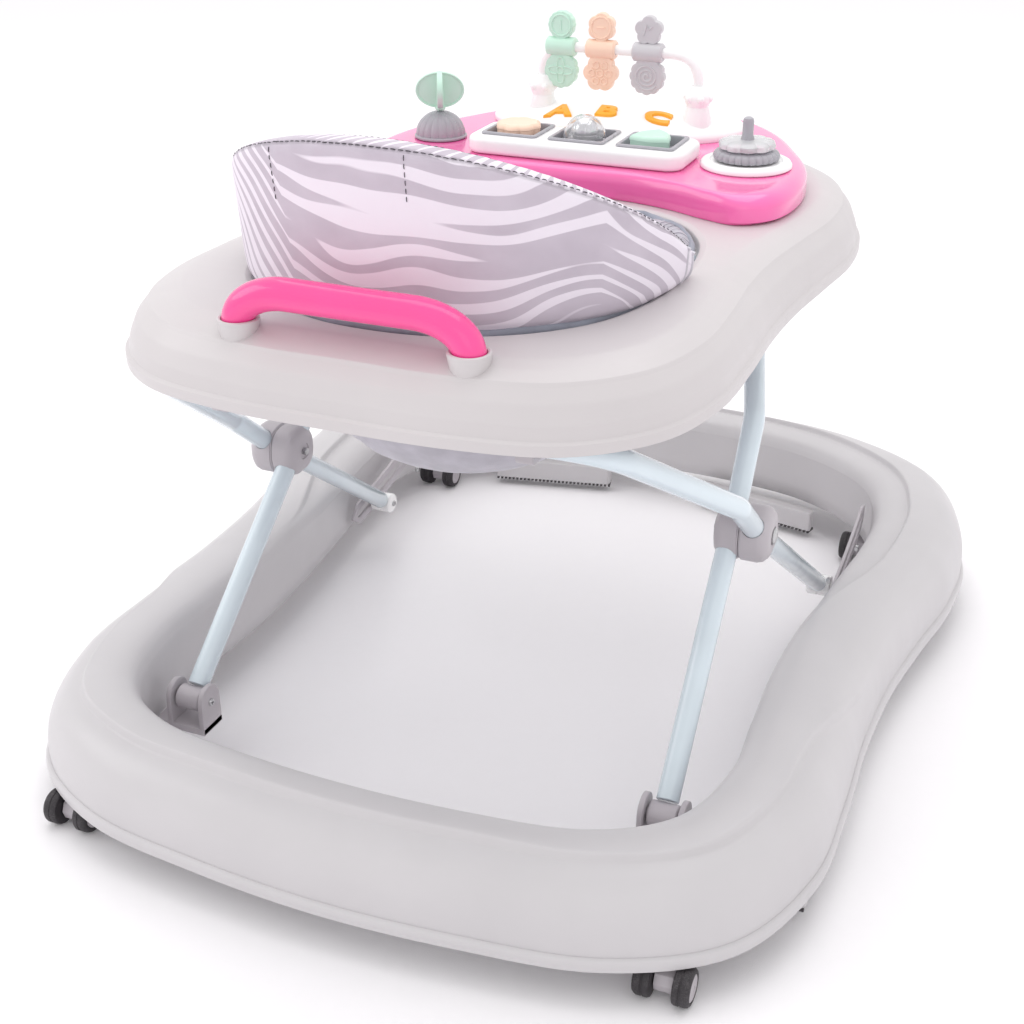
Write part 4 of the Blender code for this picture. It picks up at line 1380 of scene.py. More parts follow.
@dataclass
class TrayRing:
    """The tray ring, its handle sockets and handle, and what holds the legs' rods."""

    body: str = "tray"
    rim_z: float = 0.355
    top_z: float = 0.402
    wall: float = 0.003
    outer: Outline = tuple(mm((0, 345), (75, 343), (143, 328), (190, 285), (209, 225), (211, 160),
        (209, 95), (211, 35), (218, -30), (224, -95), (217, -160), (190, -222), (140, -272),
        (72, -303), (0, -312)))
    inner: Outline = tuple(mm((0, 287), (45, 281), (90, 258), (124, 222), (142, 175), (146, 130),
        (145, 85), (137, 40), (118, 5), (95, -15), (72, -25), (52, -30), (35, -32), (17, -33),
        (0, -33)))
    handle_x: float = 0.079
    handle_y: float = 0.314
    handle_z: float = 0.426
    handle_r: float = 0.0106
    handle_foot_z: float = 0.403
    handle_bend: Pair = (0.036, 0.0215)   # along the bar, and down the post

    def _section(self, place: RingStation) -> list[Vector]:
        """All points of one cross section, from the outer rim over the top and back below."""
        w, top, low = place.width, self.top_z, self.rim_z
        flat = ((0.0, low, 0.0006), (0.0, low + 0.0072, 0.001), (0.0026, low + 0.0088, 0.0008),
            (0.0046, low + 0.0175, 0.01), (0.0098, low + 0.029, 0.012), (0.0172, low + 0.0372,
            0.0016), (0.0188, low + 0.0396, 0.0016), (0.029, top - 0.0032, 0.02),
            (0.04, top, 0.02), (w - 0.006, top, 0.003), (w - 0.0012, top - 0.0016, 0.002),
            (w, top - 0.006, 0.002), (w, top - 0.014, 0.0006), (w - 0.0028, top - 0.014, 0.0005),
            (w - 0.004, top - 0.0036, 0.001), (0.04, top - self.wall, 0.01),
            (0.023, top - 0.008, 0.01), (0.012, top - 0.017, 0.01), (0.003, low, 0.0004))
        return [place.point(p.x, p.y) for p in filleted(flat, 3)]

    def build_shell(self) -> Piece:
        """The ring and its two handle sockets."""
        loops = [self._section(place) for place in stations(self.outer, self.inner, 8)]
        parts = [loft("ring", loops, closed=True, sharp=50.0)]
        r = self.handle_r
        cup = [(0, 0.376), (0.0048, 0.376), (r + 0.0014, 0.396), (r + 0.0032, 0.4052),
            (r + 0.003, 0.4066), (r + 0.0018, 0.4072), (r + 0.0007, 0.4068), (r + 0.0004, 0.4056),
            (r + 0.0004, 0.4035), (0, 0.4035)]
        for sign in (1, -1):
            parts.append(turned("cup", cup, (sign * self.handle_x, self.handle_y, 0), Axis.Z, 64))
        return joined("tray_ring", parts)

    def build_handle(self) -> Piece:
        """The push handle, swept through its two wide bends."""
        x, y, z = self.handle_x, self.handle_y, self.handle_z
        wide, high = self.handle_bend
        half = [Vector((x, y, self.handle_foot_z - 0.002))]
        for k in range(21):
            angle = math.pi / 2 * k / 20
            half.append(Vector((x - wide * (1 - math.cos(angle)), y,
                z - high * (1 - math.sin(angle)))))
        path = half + [Vector((-p.x, p.y, p.z)) for p in reversed(half)]
        return swept("handle_bar", path, self.handle_r, 40)

    def build_seams(self) -> Piece:
        """Small screws through the underside ribs into the rod saddles."""
        screws = Spread("tray_screws", screw_head(0.003))
        for side, sign in SIDES:
            low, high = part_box(f"rod_saddle_{side}")
            outside = high.x if sign > 0 else low.x
            screws.put((outside, (low.y + high.y) / 2, high.z - 0.006), (sign, 0, 0), (0, 1, 0.5))
            low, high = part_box(f"height_rack_{side}")
            outside = high.x if sign > 0 else low.x
            for y in (low.y + 0.006, high.y - 0.006):
                screws.put((outside, y, high.z - 0.008), (sign, 0, 0), (0, 1, 0.2))
        return screws.bake(STEEL)

    def build_and_dress(self) -> None:
        """Make every piece of the tray and give it its finish."""
        dress(self.build_shell(), TRAY_PLASTIC, self.body, "tray_shell", ["tray_shell"])
        dress(self.build_handle(), PINK_PLASTIC, self.body, "pink_gloss", ["push_handle"])
        for side, _ in SIDES:
            for kind, name in (("rod_saddle", "saddle"), ("height_rack", "rack")):
                piece = softened_copy(f"{kind}_{side}", f"{name}_{side}", 0.0007)
                dress(piece, FITTING_PLASTIC, self.body, "grey_fitting", [f"{kind}_{side}"])
        dress(self.build_seams(), STEEL, self.body, "steel")


# ---------------------------------------------------------------- seat


@dataclass
class SeatBack:
    """The padded seat back: a sewn, stuffed horseshoe with a boxing strip along its top."""

    body: str = "tray"
    middle_y: float = 0.127
    rx: float = 0.139
    ry: float = 0.153
    low_z: float = 0.39
    top_z: float = 0.521
    wing_z: float = 0.4
    least_z: float = 0.414
    overhang: Pair = (0.0185, 0.005)   # at the sides, and at the rear
    flare: Pair = (0.45, 0.85)
    left_corner: float = 0.02
    left_lean: float = 0.055
    pad: float = 0.028
    half_turn: float = math.radians(96)
    fall: float = 0.86
    undersize: float = 0.0018
    puff: float = 0.0045
    voxel: float = 0.0045
    pressure: float = 4.0
    frames: int = 20
    seam_drop: float = 0.0035
    seams: tuple[Pair, ...] = ((0.412, 0.036), (-0.19, 0.03))

    def crest(self, angle: float) -> float:
        """Height of the top edge at a plan angle from the rear middle."""
        free = self.wing_z + (self.top_z - self.wing_z) * math.cos(self.fall * angle)
        above = free - self.least_z
        return self.least_z + (above + math.hypot(above, 0.012)) / 2

    def point(self, angle: float, inset: float, height: float) -> Vector:
        """A point at a plan angle, a distance in from the outer face and a height."""
        rise = height - self.low_z
        over = eased(height, 0.391, 0.407)
        lean = max(0.0, math.sin(angle)) ** 2 * self.left_lean * max(0.0, rise - 0.03)
        corner = 1 + self.left_corner * over * math.sin(2 * max(0.0, min(angle, math.pi / 2))) ** 2
        wide = self.rx * (1 + self.flare[0] * rise) + self.overhang[0] * over - lean - inset
        deep = self.ry * (1 + self.flare[1] * rise) + self.overhang[1] * over - inset
        wide, deep = wide * corner, deep * corner
        return Vector((wide * math.sin(angle), self.middle_y + deep * math.cos(angle), height))

    def locate(self, spot: Vector) -> Pair:
        """Plan angle of a point, and how far in from the outer face it is."""
        angle = math.atan2(spot.x / self.rx, (spot.y - self.middle_y) / self.ry)
        face = self.point(angle, 0.0, spot.z)
        reach = Vector((spot.x, spot.y - self.middle_y)).length
        return angle, Vector((face.x, face.y - self.middle_y)).length - reach

    def build_form(self) -> Piece:
        """The slightly small, square-edged form that the stuffing blows up."""
        steps = 96
        small = self.undersize
        loops = []
        for k in range(steps + 1):
            angle = (self.half_turn - 0.012) * (2 * k / steps - 1)
            top, low = self.crest(angle) - small, self.low_z + small
            corners = ((small, low, 0.004), (small, top, 0.005), (self.pad - small, top, 0.007),
                (self.pad - small, low, 0.004))
            profile = filleted(corners, 4)
            walls = []
            for n, spot in enumerate(profile):
                walls.append(spot)
                if n % 5 == 4:
                    after = profile[(n + 1) % len(profile)]
                    walls.extend(spot.lerp(after, share / 9) for share in range(1, 9))
            loops.append([self.point(angle, p.x, p.y) for p in walls])
        return loft("padded_back", loops)

    def _held(self, spot: Vector) -> float:
        """How firmly the stitching holds a point of the form, from 0 to 1."""
        angle, inset = self.locate(spot)
        drop = self.crest(angle) - spot.z
        edge = max(0.0, 1 - math.hypot(drop - 0.004, min(inset, self.pad - inset) - 0.002) / 0.006)
        low = max(0.0, 1 - (spot.z - self.low_z) / 0.01)
        end = max(0.0, 1 - (self.half_turn - abs(angle)) * self.rx / 0.01)
        held = max(edge, low, end)
        for seam_angle, length in self.seams:
            if inset < self.pad / 2 and drop < length:
                held = max(held, 0.8 * max(0.0, 1 - abs(angle - seam_angle) * self.ry / 0.005))
        return min(1.0, held * 1.6)

    def stuff(self, form: Piece) -> None:
        """Blow the form up like a stuffed cover, held along its seams."""
        remesh = form.modifiers.new("even", "REMESH")
        remesh.mode = "VOXEL"
        remesh.voxel_size = self.voxel
        settle(form)
        start = [v.co.copy() for v in form.data.vertices]
        group = form.vertex_groups.new(name="stitched")
        for k, spot in enumerate(start):
            group.add([k], self._held(spot), "REPLACE")
        cloth = form.modifiers.new("cover", "CLOTH")
        cloth.settings.quality = 5
        cloth.settings.mass = 0.25
        cloth.settings.tension_stiffness = 12
        cloth.settings.compression_stiffness = 12
        cloth.settings.bending_stiffness = 0.6
        cloth.settings.use_pressure = True
        cloth.settings.uniform_pressure_force = self.pressure
        cloth.settings.vertex_group_mass = group.name
        cloth.settings.effector_weights.gravity = 0.0
        cloth.collision_settings.use_collision = False
        cloth.point_cache.frame_start = 1
        cloth.point_cache.frame_end = self.frames
        for number in range(1, self.frames + 1):
            bpy.context.scene.frame_set(number)
        settle(form)
        bpy.context.scene.frame_set(1)
        form.vertex_groups.clear()
        most = 0.0
        for vertex, origin in zip(form.data.vertices, start):
            move = vertex.co - origin
            if move.length > self.puff:
                vertex.co = origin + move.normalized() * self.puff
            most = max(most, min(move.length, self.puff))
        LOG.info("the stuffing moved the cover by up to %.1f mm", most * 1000)

    def chart(self, piece: Piece) -> None:
        """Store where each point lies on the cloth: along, up, and how far into the top strip."""
        data = piece.data.attributes.new(CLOTH_MAP, "FLOAT_VECTOR", "POINT").data
        for vertex in piece.data.vertices:
            angle, inset = self.locate(vertex.co)
            over = vertex.co.z - (self.crest(angle) - self.seam_drop)
            data[vertex.index].vector = (angle * self.ry, vertex.co.z + inset, over)

    def build_pad(self) -> Piece:
        """The stuffed pad, with its cloth map."""
        pad = self.build_form()
        self.stuff(pad)
        smoothed(pad, 1)
        self.chart(pad)
        return pad

    def surface_spot(self, tree: BVHTree, angle: float, height: float,
            inside: bool = False) -> tuple[Vector, Vector]:
        """Where the pad's face is at a plan angle and height.

        Args:
            tree: The pad's faces.
            angle: Plan angle from the rear middle.
            height: Height above the floor.
            inside: True for the face towards the baby.

        Returns:
            The spot and the direction out of the face.
        """
        start = self.point(angle, self.pad + 0.03 if inside else -0.03, height)
        aim = self.point(angle, self.pad / 2, height)
        spot, normal, _, _ = tree.ray_cast(start, (aim - start).normalized())
        if spot is None:
            return aim, (start - aim).normalized()
        if normal.dot(start - aim) < 0:
            normal = -normal
        return spot, normal

    def build_stitches(self, tree: BVHTree) -> Piece:
        """Dark stitches along the strip's two seams and the short seams down the outer face."""
        rows = Spread("pad_stitches", stitch(0.003))
        for inside in (False, True):
            count = 118
            for k in range(count):
                angle = self.half_turn * 0.955 * (2 * k / (count - 1) - 1)
                height = self.crest(angle) - self.seam_drop
                self._sew(rows, tree, angle, height, inside, False)
        for seam_angle, length in self.seams:
            for k in range(int(length / 0.005)):
                height = self.crest(seam_angle) - self.seam_drop - 0.004 - 0.005 * k
                self._sew(rows, tree, seam_angle, height, False, True)
        return rows.bake(THREAD)

    def _sew(self, rows: Spread, tree: BVHTree, angle: float, height: float, inside: bool,
            down: bool) -> None:
        """Set one stitch on the pad, along its seam or straight down."""
        spot, normal = self.surface_spot(tree, angle, height, inside)
        if down:
            along = self.point(angle, 0, height + 0.01) - self.point(angle, 0, height)
        else:
            ahead = self.point(angle + 0.01, 0, self.crest(angle + 0.01))
            along = ahead - self.point(angle - 0.01, 0, self.crest(angle - 0.01))
        along = along - normal * along.dot(normal)
        rows.put(spot + normal * 0.0002, normal, along)

    def build_piping(self, tree: BVHTree) -> Piece:
        """Two thin cords of piping round each wing's end."""
        cords = []
        for _, sign in SIDES:
            for back, radius in ((0.085, 0.0013), (0.16, 0.001)):
                angle = sign * (self.half_turn - back)
                top = self.crest(angle)
                heights = [self.low_z + 0.008 + (top - self.low_z - 0.014) * k / 14 for k in
                    range(15)]
                path = [self.surface_spot(tree, angle, height)[0] for height in heights]
                path += [self.surface_spot(tree, angle, height,
                    inside=True)[0] for height in reversed(heights)]
                fine = closed_spline(path, 3)[:3 * (len(path) - 1)]
                cords.append(swept("cord", fine, radius, 10))
        return joined("wing_piping", cords)

    def build_flaps(self) -> Piece:
        """The gathered cloth that fills the corner between each wing and the opening."""
        rim = []
        for spot in closed_spline(mirrored(TrayRing.inner), 10):
            rim.append((math.atan2(spot.x / self.rx, (spot.y - self.middle_y) / self.ry), spot))
        flaps = []
        steps, count = 110, 16
        for _, sign in SIDES:
            loops = []
            for k in range(steps + 1):
                share = k / steps
                angle = sign * (1.5 + 1.12 * share)
                edge = min(rim, key=lambda item: abs(item[0] - angle))[1]
                pleat = 0.0011 * math.sin(2 * math.pi * 17 * share + 0.6 * math.sin(9 * share))
                foot = Vector((edge.x, edge.y, 0.3985))
                inward = Vector((-edge.x, self.middle_y - edge.y, 0)).normalized()
                foot = foot + inward * 0.004
                rise = 0.034 * (1 - share) ** 0.8 + 0.004
                crown = foot + inward * (0.01 + 0.01 * (1 - share)) + Vector((0, 0, rise))
                back = foot + inward * (0.026 + 0.008 * (1 - share)) + Vector((0, 0, -0.012))
                over, under = [], []
                for n in range(count + 1):
                    t = n / count
                    base = foot * (1 - t) ** 2 + crown * 2 * t * (1 - t) + back * t ** 2
                    swell = math.sin(math.pi * t) * pleat
                    over.append(base + Vector((0, 0, swell)) - inward * swell * 0.6)
                    under.append(base + inward * 0.0008 + Vector((0, 0, swell - 0.0016)))
                loops.append(over + under[::-1])
            flaps.append(loft("flap", loops))
        return joined("gathered_flaps", flaps)

    def build_and_dress(self) -> None:
        """Make the pad, its stitches and its piping and give them their finishes."""
        pad = self.build_pad()
        tree = faces_of(pad)
        stitches, piping = self.build_stitches(tree), self.build_piping(tree)
        dress(pad, STRIPED_CLOTH, self.body, "seat_fabric", ["seat_back"])
        dress(stitches, THREAD, self.body, "seat_fabric")
        dress(piping, PIPING, self.body, "seat_fabric")
        dress(self.build_flaps(), SEAT_CLOTH, self.body, "seat_fabric")


@dataclass
class SeatBucket:
    """The hanging cloth seat with its two leg holes and their gathered elastic."""

    body: str = "tray"
    middle_y: float = 0.127
    rx: float = 0.139
    ry: float = 0.153
    thick: float = 0.0016
    levels: tuple[Pair, ...] = ((1.0, 0.3975), (0.99, 0.386), (0.93, 0.345), (0.78, 0.3),
        (0.58, 0.274), (0.33, 0.259), (0.07, 0.2555))
    hole: Pair = (0.062, 0.048)
    hole_r: float = 0.04
    gathers: int = 26

    def _ring(self, share: float, height: float, sides: int) -> list[Vector]:
        """One level of the bowl, with folds that hang from the rim."""
        ring = []
        for angle in turns(sides):
            sway = math.sin(11 * angle + 1.3) + 0.7 * math.sin(23 * angle + 0.4 + 30 * height)
            fold = 1 - 0.016 * eased(height, 0.258, 0.3) * (1 + sway / 1.6)
            ring.append(Vector((self.rx * share * fold * math.sin(angle),
                self.middle_y + self.ry * share * fold * math.cos(angle), height)))
        return ring

    def build_bowl(self) -> Piece:
        """The cloth bowl with its leg holes cut."""
        line = spread_line([(a * self.rx, z) for a, z in self.levels], 44)
        loops = [self._ring(p.x / self.rx, p.y, 120) for p in line]
        points = [p for loop in loops for p in loop]
        faces = []
        for row in range(len(loops) - 1):
            for k in range(120):
                a, b = row * 120 + k, row * 120 + (k + 1) % 120
                faces.append((a, b, b + 120, a + 120))
        last = (len(loops) - 1) * 120
        faces.append([last + k for k in range(120)])
        bowl = solid("cloth_seat", points, faces, 60.0)
        thicken = bowl.modifiers.new("cloth", "SOLIDIFY")
        thicken.thickness = self.thick
        thicken.offset = 0.0
        settle(bowl)
        for sign in (1, -1):
            cut = [(0, 0.2), (self.hole_r, 0.2), (self.hole_r, 0.335), (0, 0.335)]
            centre = (sign * self.hole[0], self.hole[1], 0)
            combine(bowl, turned("leg_cut", cut, centre, Axis.Z, 72), "DIFFERENCE")
        shaded(bowl.data, 50)
        return bowl

    def _bowl_height(self, tree: BVHTree, x: float, y: float) -> float | None:
        """Height of the bowl's underside at a place, or None outside it."""
        spot, _, _, _ = tree.ray_cast(Vector((x, y, 0.1)), Vector((0, 0, 1)))
        return None if spot is None else spot.z

    def build_elastic(self, bowl: Piece) -> Piece:
        """A gathered band round each leg hole."""
        tree = faces_of(bowl)
        steps = 208
        bands = []
        for sign in (1, -1):
            loops = []
            middle = (sign * self.hole[0], self.hole[1])
            heights = [self._bowl_height(tree, *polar(self.hole_r + 0.0022, angle,
                middle)) for angle in turns(steps)]
            known = [h for h in heights if h is not None]
            heights = [min(h, 0.338) if h is not None else max(known) for h in heights]
            for _ in range(12):
                heights = [(heights[k - 1] + heights[k] + heights[(k + 1) % steps]) / 3 for k in
                    range(steps)]
            for angle, height in zip(turns(steps), heights):
                gather = math.sin(self.gathers * angle)
                spot = Vector((*polar(self.hole_r, angle, middle), height))
                out = Vector((math.cos(angle), math.sin(angle), 0))
                fat = 0.0042 * (1 + 0.26 * gather)
                spot = spot + out * 0.0007 * math.sin(self.gathers * angle + 0.9)
                loops.append([spot + out * a + Vector((0, 0, b)) for a, b in around(fat, 12)])
            bands.append(loft("band", loops, closed=True))
        return joined("leg_elastic", bands)

    def build_rim(self) -> Piece:
        """The binding that lies along the edge of the tray's opening."""
        line = closed_spline(mirrored(TrayRing.inner), 6)
        middle = Vector((0, self.middle_y))
        loops = []
        for k, spot in enumerate(line):
            inward = (middle - spot).normalized()
            base = spot + inward * 0.0052
            fat = 0.003 * (1 + 0.06 * math.sin(k * 1.9))
            lift = 0.3985 + 0.0006 * math.sin(k * 0.7)
            loops.append([Vector((base.x + inward.x * a, base.y + inward.y * a,
                lift + b * 1.5)) for a, b in around(fat, 12)])
        return loft("opening_binding", loops, closed=True)

    def build_and_dress(self) -> None:
        """Make the seat, its elastic and its binding and give them their finishes."""
        bowl = self.build_bowl()
        elastic, rim = self.build_elastic(bowl), self.build_rim()
        dress(bowl, SEAT_CLOTH, self.body, "seat_fabric", ["seat_bucket"])
        dress(elastic, BINDING, self.body, "seat_fabric")
        dress(rim, BINDING, self.body, "seat_fabric")
        area = sum(face.area for face in bowl.data.polygons) / 2
        LOG.info("the cloth seat's area is %.4f m2", area)


# ---------------------------------------------------------------- toys


def run_lengths(line: Sequence[Vector]) -> np.ndarray:
    """How far along a line each of its points is."""
    return np.cumsum([0.0] + [(b - a).length for a, b in zip(line, line[1:])])


def petals(radius: float, lobes: int, depth: float, sides: int = 96,
        turn: float = 0.0) -> list[Pair]:
    """A round outline with lobes, the lobes' tips on the radius.

    Args:
        radius: Radius of the tips.
        lobes: Number of lobes.
        depth: Depth of the dips as a share of the radius.
        sides: Number of points.
        turn: Angle of the first tip.

    Returns:
        The outline.
    """
    found = []
    for angle in turns(sides):
        dip = depth * (1 - abs(math.cos(lobes * (angle - turn) / 2)) ** 0.8)
        found.append(polar(radius * (1 - dip), angle))
    return found


def rounded_ngon(radius: float, corners: int, soft: float, sides: int = 96,
        turn: float = 0.0) -> list[Pair]:
    """A regular polygon with soft corners.

    Args:
        radius: Radius of the corners.
        corners: Number of corners.
        soft: 0 for a circle, up to 1 for a sharp polygon.
        sides: Number of points.
        turn: Angle of the first corner.

    Returns:
        The outline.
    """
    found = []
    for angle in turns(sides):
        local = (angle - turn) % (2 * math.pi / corners) - math.pi / corners
        flat = math.cos(math.pi / corners) / math.cos(local)
        found.append(polar(radius * ((1 - soft) + soft * flat), angle))
    return found


def domed(name: str, outline: Sequence[Pair], centre: Pair, levels: Sequence[Pair]) -> Piece:
    """Stack scaled copies of an outline into a solid.

    Args:
        name: The object's name.
        outline: The outline about its centre.
        centre: Where the centre is.
        levels: (scale, height) of each copy; scale 0 is a pole.

    Returns:
        The object.
    """
    x, y = centre
    loops = [[Vector((x + a * scale, y + b * scale, z)) for a,
        b in (outline if scale else [(0, 0)])] for scale, z in levels]
    return loft(name, loops)


def box_outline(low: Pair, high: Pair, corner: float, steps: int = 8) -> list[Pair]:
    """A rectangle with round corners.

    Args:
        low: Lowest corner.
        high: Highest corner.
        corner: Corner radius.
        steps: Pieces in each corner.

    Returns:
        The outline.
    """
    points = []
    for turn, (x, y) in enumerate(((1, 1), (-1, 1), (-1, -1), (1, -1))):
        middle = (high[0] - corner if x > 0 else low[0] + corner,
            high[1] - corner if y > 0 else low[1] + corner)
        points += [polar(corner, (turn + k / steps) * math.pi / 2,
            middle) for k in range(steps + 1)]
    return points


@dataclass
class Paddle:
    """One turning paddle: two moulded lobes on a barrel, with raised figures on both faces."""

    name: str
    x: float
    finish: Moulded
    y: float = -0.175
    z: float = 0.492
    half_y: float = 0.0036
    barrel_r: float = 0.0078
    barrel_half: float = 0.013
    upper_z: float = 0.0178
    lower_z: float = -0.0196
    line_r: float = 0.0009

    def outlines(self) -> tuple[list[Pair], list[Pair]]:
        """Outlines of the upper and the lower lobe."""
        if self.name == "mint":
            return petals(0.0118, 14, 0.05), petals(0.0152, 12, 0.07)
        if self.name == "peach":
            return petals(0.0121, 6, 0.13, turn=math.pi / 2), petals(0.0155, 6, 0.16)
        return petals(0.0121, 5, 0.2, turn=math.pi / 2), petals(0.0155, 12, 0.08)

    def figures(self) -> list[list[Pair]]:
        """Lines of the raised figures, about the paddle's axis."""
        low, high = self.lower_z, self.upper_z
        ring = [polar(0.0086, 2 * math.pi * k / 40, (0, high)) for k in range(41)]
        if self.name == "mint":
            flower = []
            for k in range(73):
                angle = 2 * math.pi * k / 72
                flower.append(polar(0.0078 + 0.003 * math.cos(4 * angle), angle, (0, low)))
            core = [polar(0.003, 2 * math.pi * k / 24, (0, low)) for k in range(25)]
            lines = [ring, [(0, high - 0.0045), (0, high + 0.0045)], flower, core]
        elif self.name == "peach":
            lines = [ring, [(-0.0035, high), (0.0035, high)]]
            for k in range(7):
                middle = polar(0.0 if k == 6 else 0.0076, math.pi * k / 3, (0, low))
                lines.append([polar(0.003, math.pi * n / 3 + 0.5, middle) for n in range(7)])
        else:
            zigzag = [(-0.004, high - 0.004), (-0.0012, high + 0.0046), (0.0012, high + 0.001),
                (0.0038, high + 0.004)]
            spiral = [polar(0.001 + 0.01 * k / 109, 2 * math.pi * 2.9 * k / 109,
                (0, low)) for k in range(110)]
            lines = [zigzag, spiral]
        return lines

    def build(self) -> Piece:
        """The whole paddle."""
        parts = []
        for outline, z in zip(self.outlines(), (self.upper_z, self.lower_z)):
            loops = []
            for scale, y in ((0.93, -1.0), (0.985, -0.86), (1.0, -0.6), (1.0, 0.6), (0.985, 0.86),
                    (0.93, 1.0)):
                loops.append([Vector((self.x + a * scale, self.y + y * self.half_y,
                    self.z + z + b * scale)) for a, b in outline])
            parts.append(loft("lobe", loops))
        r, half = self.barrel_r, self.barrel_half
        barrel = [(0.0044, -half), (r - 0.0012, -half), (r, -half + 0.0012), (r, half - 0.0012),
            (r - 0.0012, half), (0.0044, half)]
        rings = [[Vector((self.x + a, self.y + u, self.z + v)) for u, v in around(rad,
            40)] for rad, a in barrel]
        parts.append(loft("barrel", rings, closed=True))
        for line in self.figures():
            for face in (-1, 1):
                path = [Vector((self.x - face * a, self.y + face * self.half_y, self.z + b)) for a,
                    b in line]
                parts.append(swept("line", path, self.line_r, 8))
        return joined(f"{self.name}_charm", parts)


@dataclass
class ToyDeck:
    """The pink deck and everything on it."""

    body: str = "tray"
    outline: Outline = tuple(mm((0, -43), (50, -42), (90, -32), (125, -16), (153, -9), (176, -30),
        (183, -75), (176, -130), (155, -180), (130, -225), (95, -262), (50, -280), (0, -286)))
    middle_y: float = -0.15
    low_z: float = 0.4023
    top_z: float = 0.424
    rounding: float = 0.0105
    key_y: float = -0.092
    key_pitch: float = 0.058
    console: tuple[Pair, Pair] = ((-0.092, -0.122), (0.092, -0.056))
    console_z: float = 0.438
    lobe_x: float = 0.133
    lobe_y: float = -0.1
    dome_x: float = 0.009
    dome_y: float = -0.2
    dome_rx: float = 0.113
    dome_ry: float = 0.07
    dome_z: float = 0.447
    bar_y: float = -0.175
    bar_z: float = 0.492
    bar_x: float = 0.0695
    bar_r: float = 0.0042
    letters: tuple[tuple[str, float, float], ...] = (("A", 0.045, -0.154), ("B", 0.0045, -0.157),
        ("C", -0.04, -0.159))
    letter_size: float = 0.027

    def build_deck(self) -> Piece:
        """The kidney-shaped deck with its rolled edge."""
        line = closed_spline(mirrored(self.outline), 6)
        shape = [(p.x, p.y - self.middle_y) for p in line]
        r = self.rounding
        levels = [(0.985, self.low_z), (1.0, self.low_z + 0.0022), (1.0, self.top_z - r)]
        for k in range(1, 11):
            angle = math.pi / 2 * k / 10
            scale = 1 - r * (1 - math.cos(angle)) / 0.145
            levels.append((scale, self.top_z - r * (1 - math.sin(angle))))
        levels += [(0.9, self.top_z), (0.6, self.top_z + 0.0002)]
        return domed("pink_deck", shape, (0, self.middle_y), levels)

    def build_console(self) -> Piece:
        """The white console, its top edge well rounded, with three wells."""
        low, high = self.console
        outline = box_outline(low, high, 0.014)
        made = extruded("white_console", outline, (self.top_z + 0.0002, self.console_z), Axis.Z)
        rounded(made, 0.0042, 5, 60.0)
        for x in (self.key_pitch, 0.0, -self.key_pitch):
            well = box_outline((x - 0.0218, self.key_y - 0.0218), (x + 0.0218,
                self.key_y + 0.0218), 0.003)
            combine(made, extruded("well", well, (0.428, 0.46), Axis.Z), "DIFFERENCE")
        shaded(made.data, 30)
        return made

    def build_bezels(self) -> Piece:
        """Three glossy grey pans with a raised frame, one in each well."""
        pans = []
        for x in (self.key_pitch, 0.0, -self.key_pitch):
            loops = []
            for half, z in mm((21.6, 428.4), (21.6, 437.6), (23.6, 438), (24.2, 438.8),
                    (23.6, 439.9), (21.8, 440.2), (20.9, 439.7), (20.5, 438), (20.4, 431.4)):
                loops.append([Vector((x + a, self.key_y + b, z)) for a,
                    b in box_outline((-half, -half), (half, half), 0.0036)])
            pans.append(loft("pan", loops))
        return joined("grey_bezels", pans)

    def build_keys(self) -> tuple[Piece, Piece]:
        """The scalloped peach key and the rounded-triangle mint key."""
        levels = [(0.93, 0.435), (0.97, 0.4356), (0.97, 0.4405), (1.0, 0.4412), (0.99, 0.4428),
            (0.94, 0.4443), (0.84, 0.4452), (0.7, 0.4446), (0.4, 0.4443), (0, 0.4442)]
        peach = domed("peach_button", petals(0.019, 8, 0.09), (self.key_pitch, self.key_y), levels)
        three = rounded_ngon(0.0192, 3, 0.55, turn=-math.pi / 2)
        mint = domed("mint_button", three, (-self.key_pitch, self.key_y), levels)
        return peach, mint

    def build_ball(self) -> tuple[Piece, Piece]:
        """The bright ball with its grooves, and the clear dome over it."""
        r, middle = 0.0108, (0, self.key_y, 0.4425)
        profile = [(0.0, -r)]
        for k in range(1, 48):
            angle = math.pi * k / 48
            dent = 0.00035 if k in (16, 32) else 0.0
            profile.append(((r - dent) * math.sin(angle), -(r - dent) * math.cos(angle)))
        profile.append((0.0, r))
        ball = turned("bright_ball", profile, middle, Axis.X, 64)
        shell = []
        for reach, high, share in ((0.0172, 0.0212, 1.0), (0.0181, 0.0221, -1.0)):
            arc = []
            for k in range(17):
                angle = math.pi / 2 * k / 16
                arc.append((reach * math.sin(angle), -0.0088 + high * math.cos(angle)))
            shell += arc if share > 0 else arc[::-1]
        shell = shell[:17] + [(0.019, -0.0088), (0.019, -0.0078)] + shell[17:]
        dome = turned("clear_dome", shell, middle, Axis.Z, 64)
        return ball, dome

    def dome_height(self, share: float) -> float:
        """Height of the white panel at a share of its outline."""
        rise = self.dome_z - self.top_z - 0.004
        return self.top_z + 0.004 + rise * (1 - share ** 2.6) ** 0.62

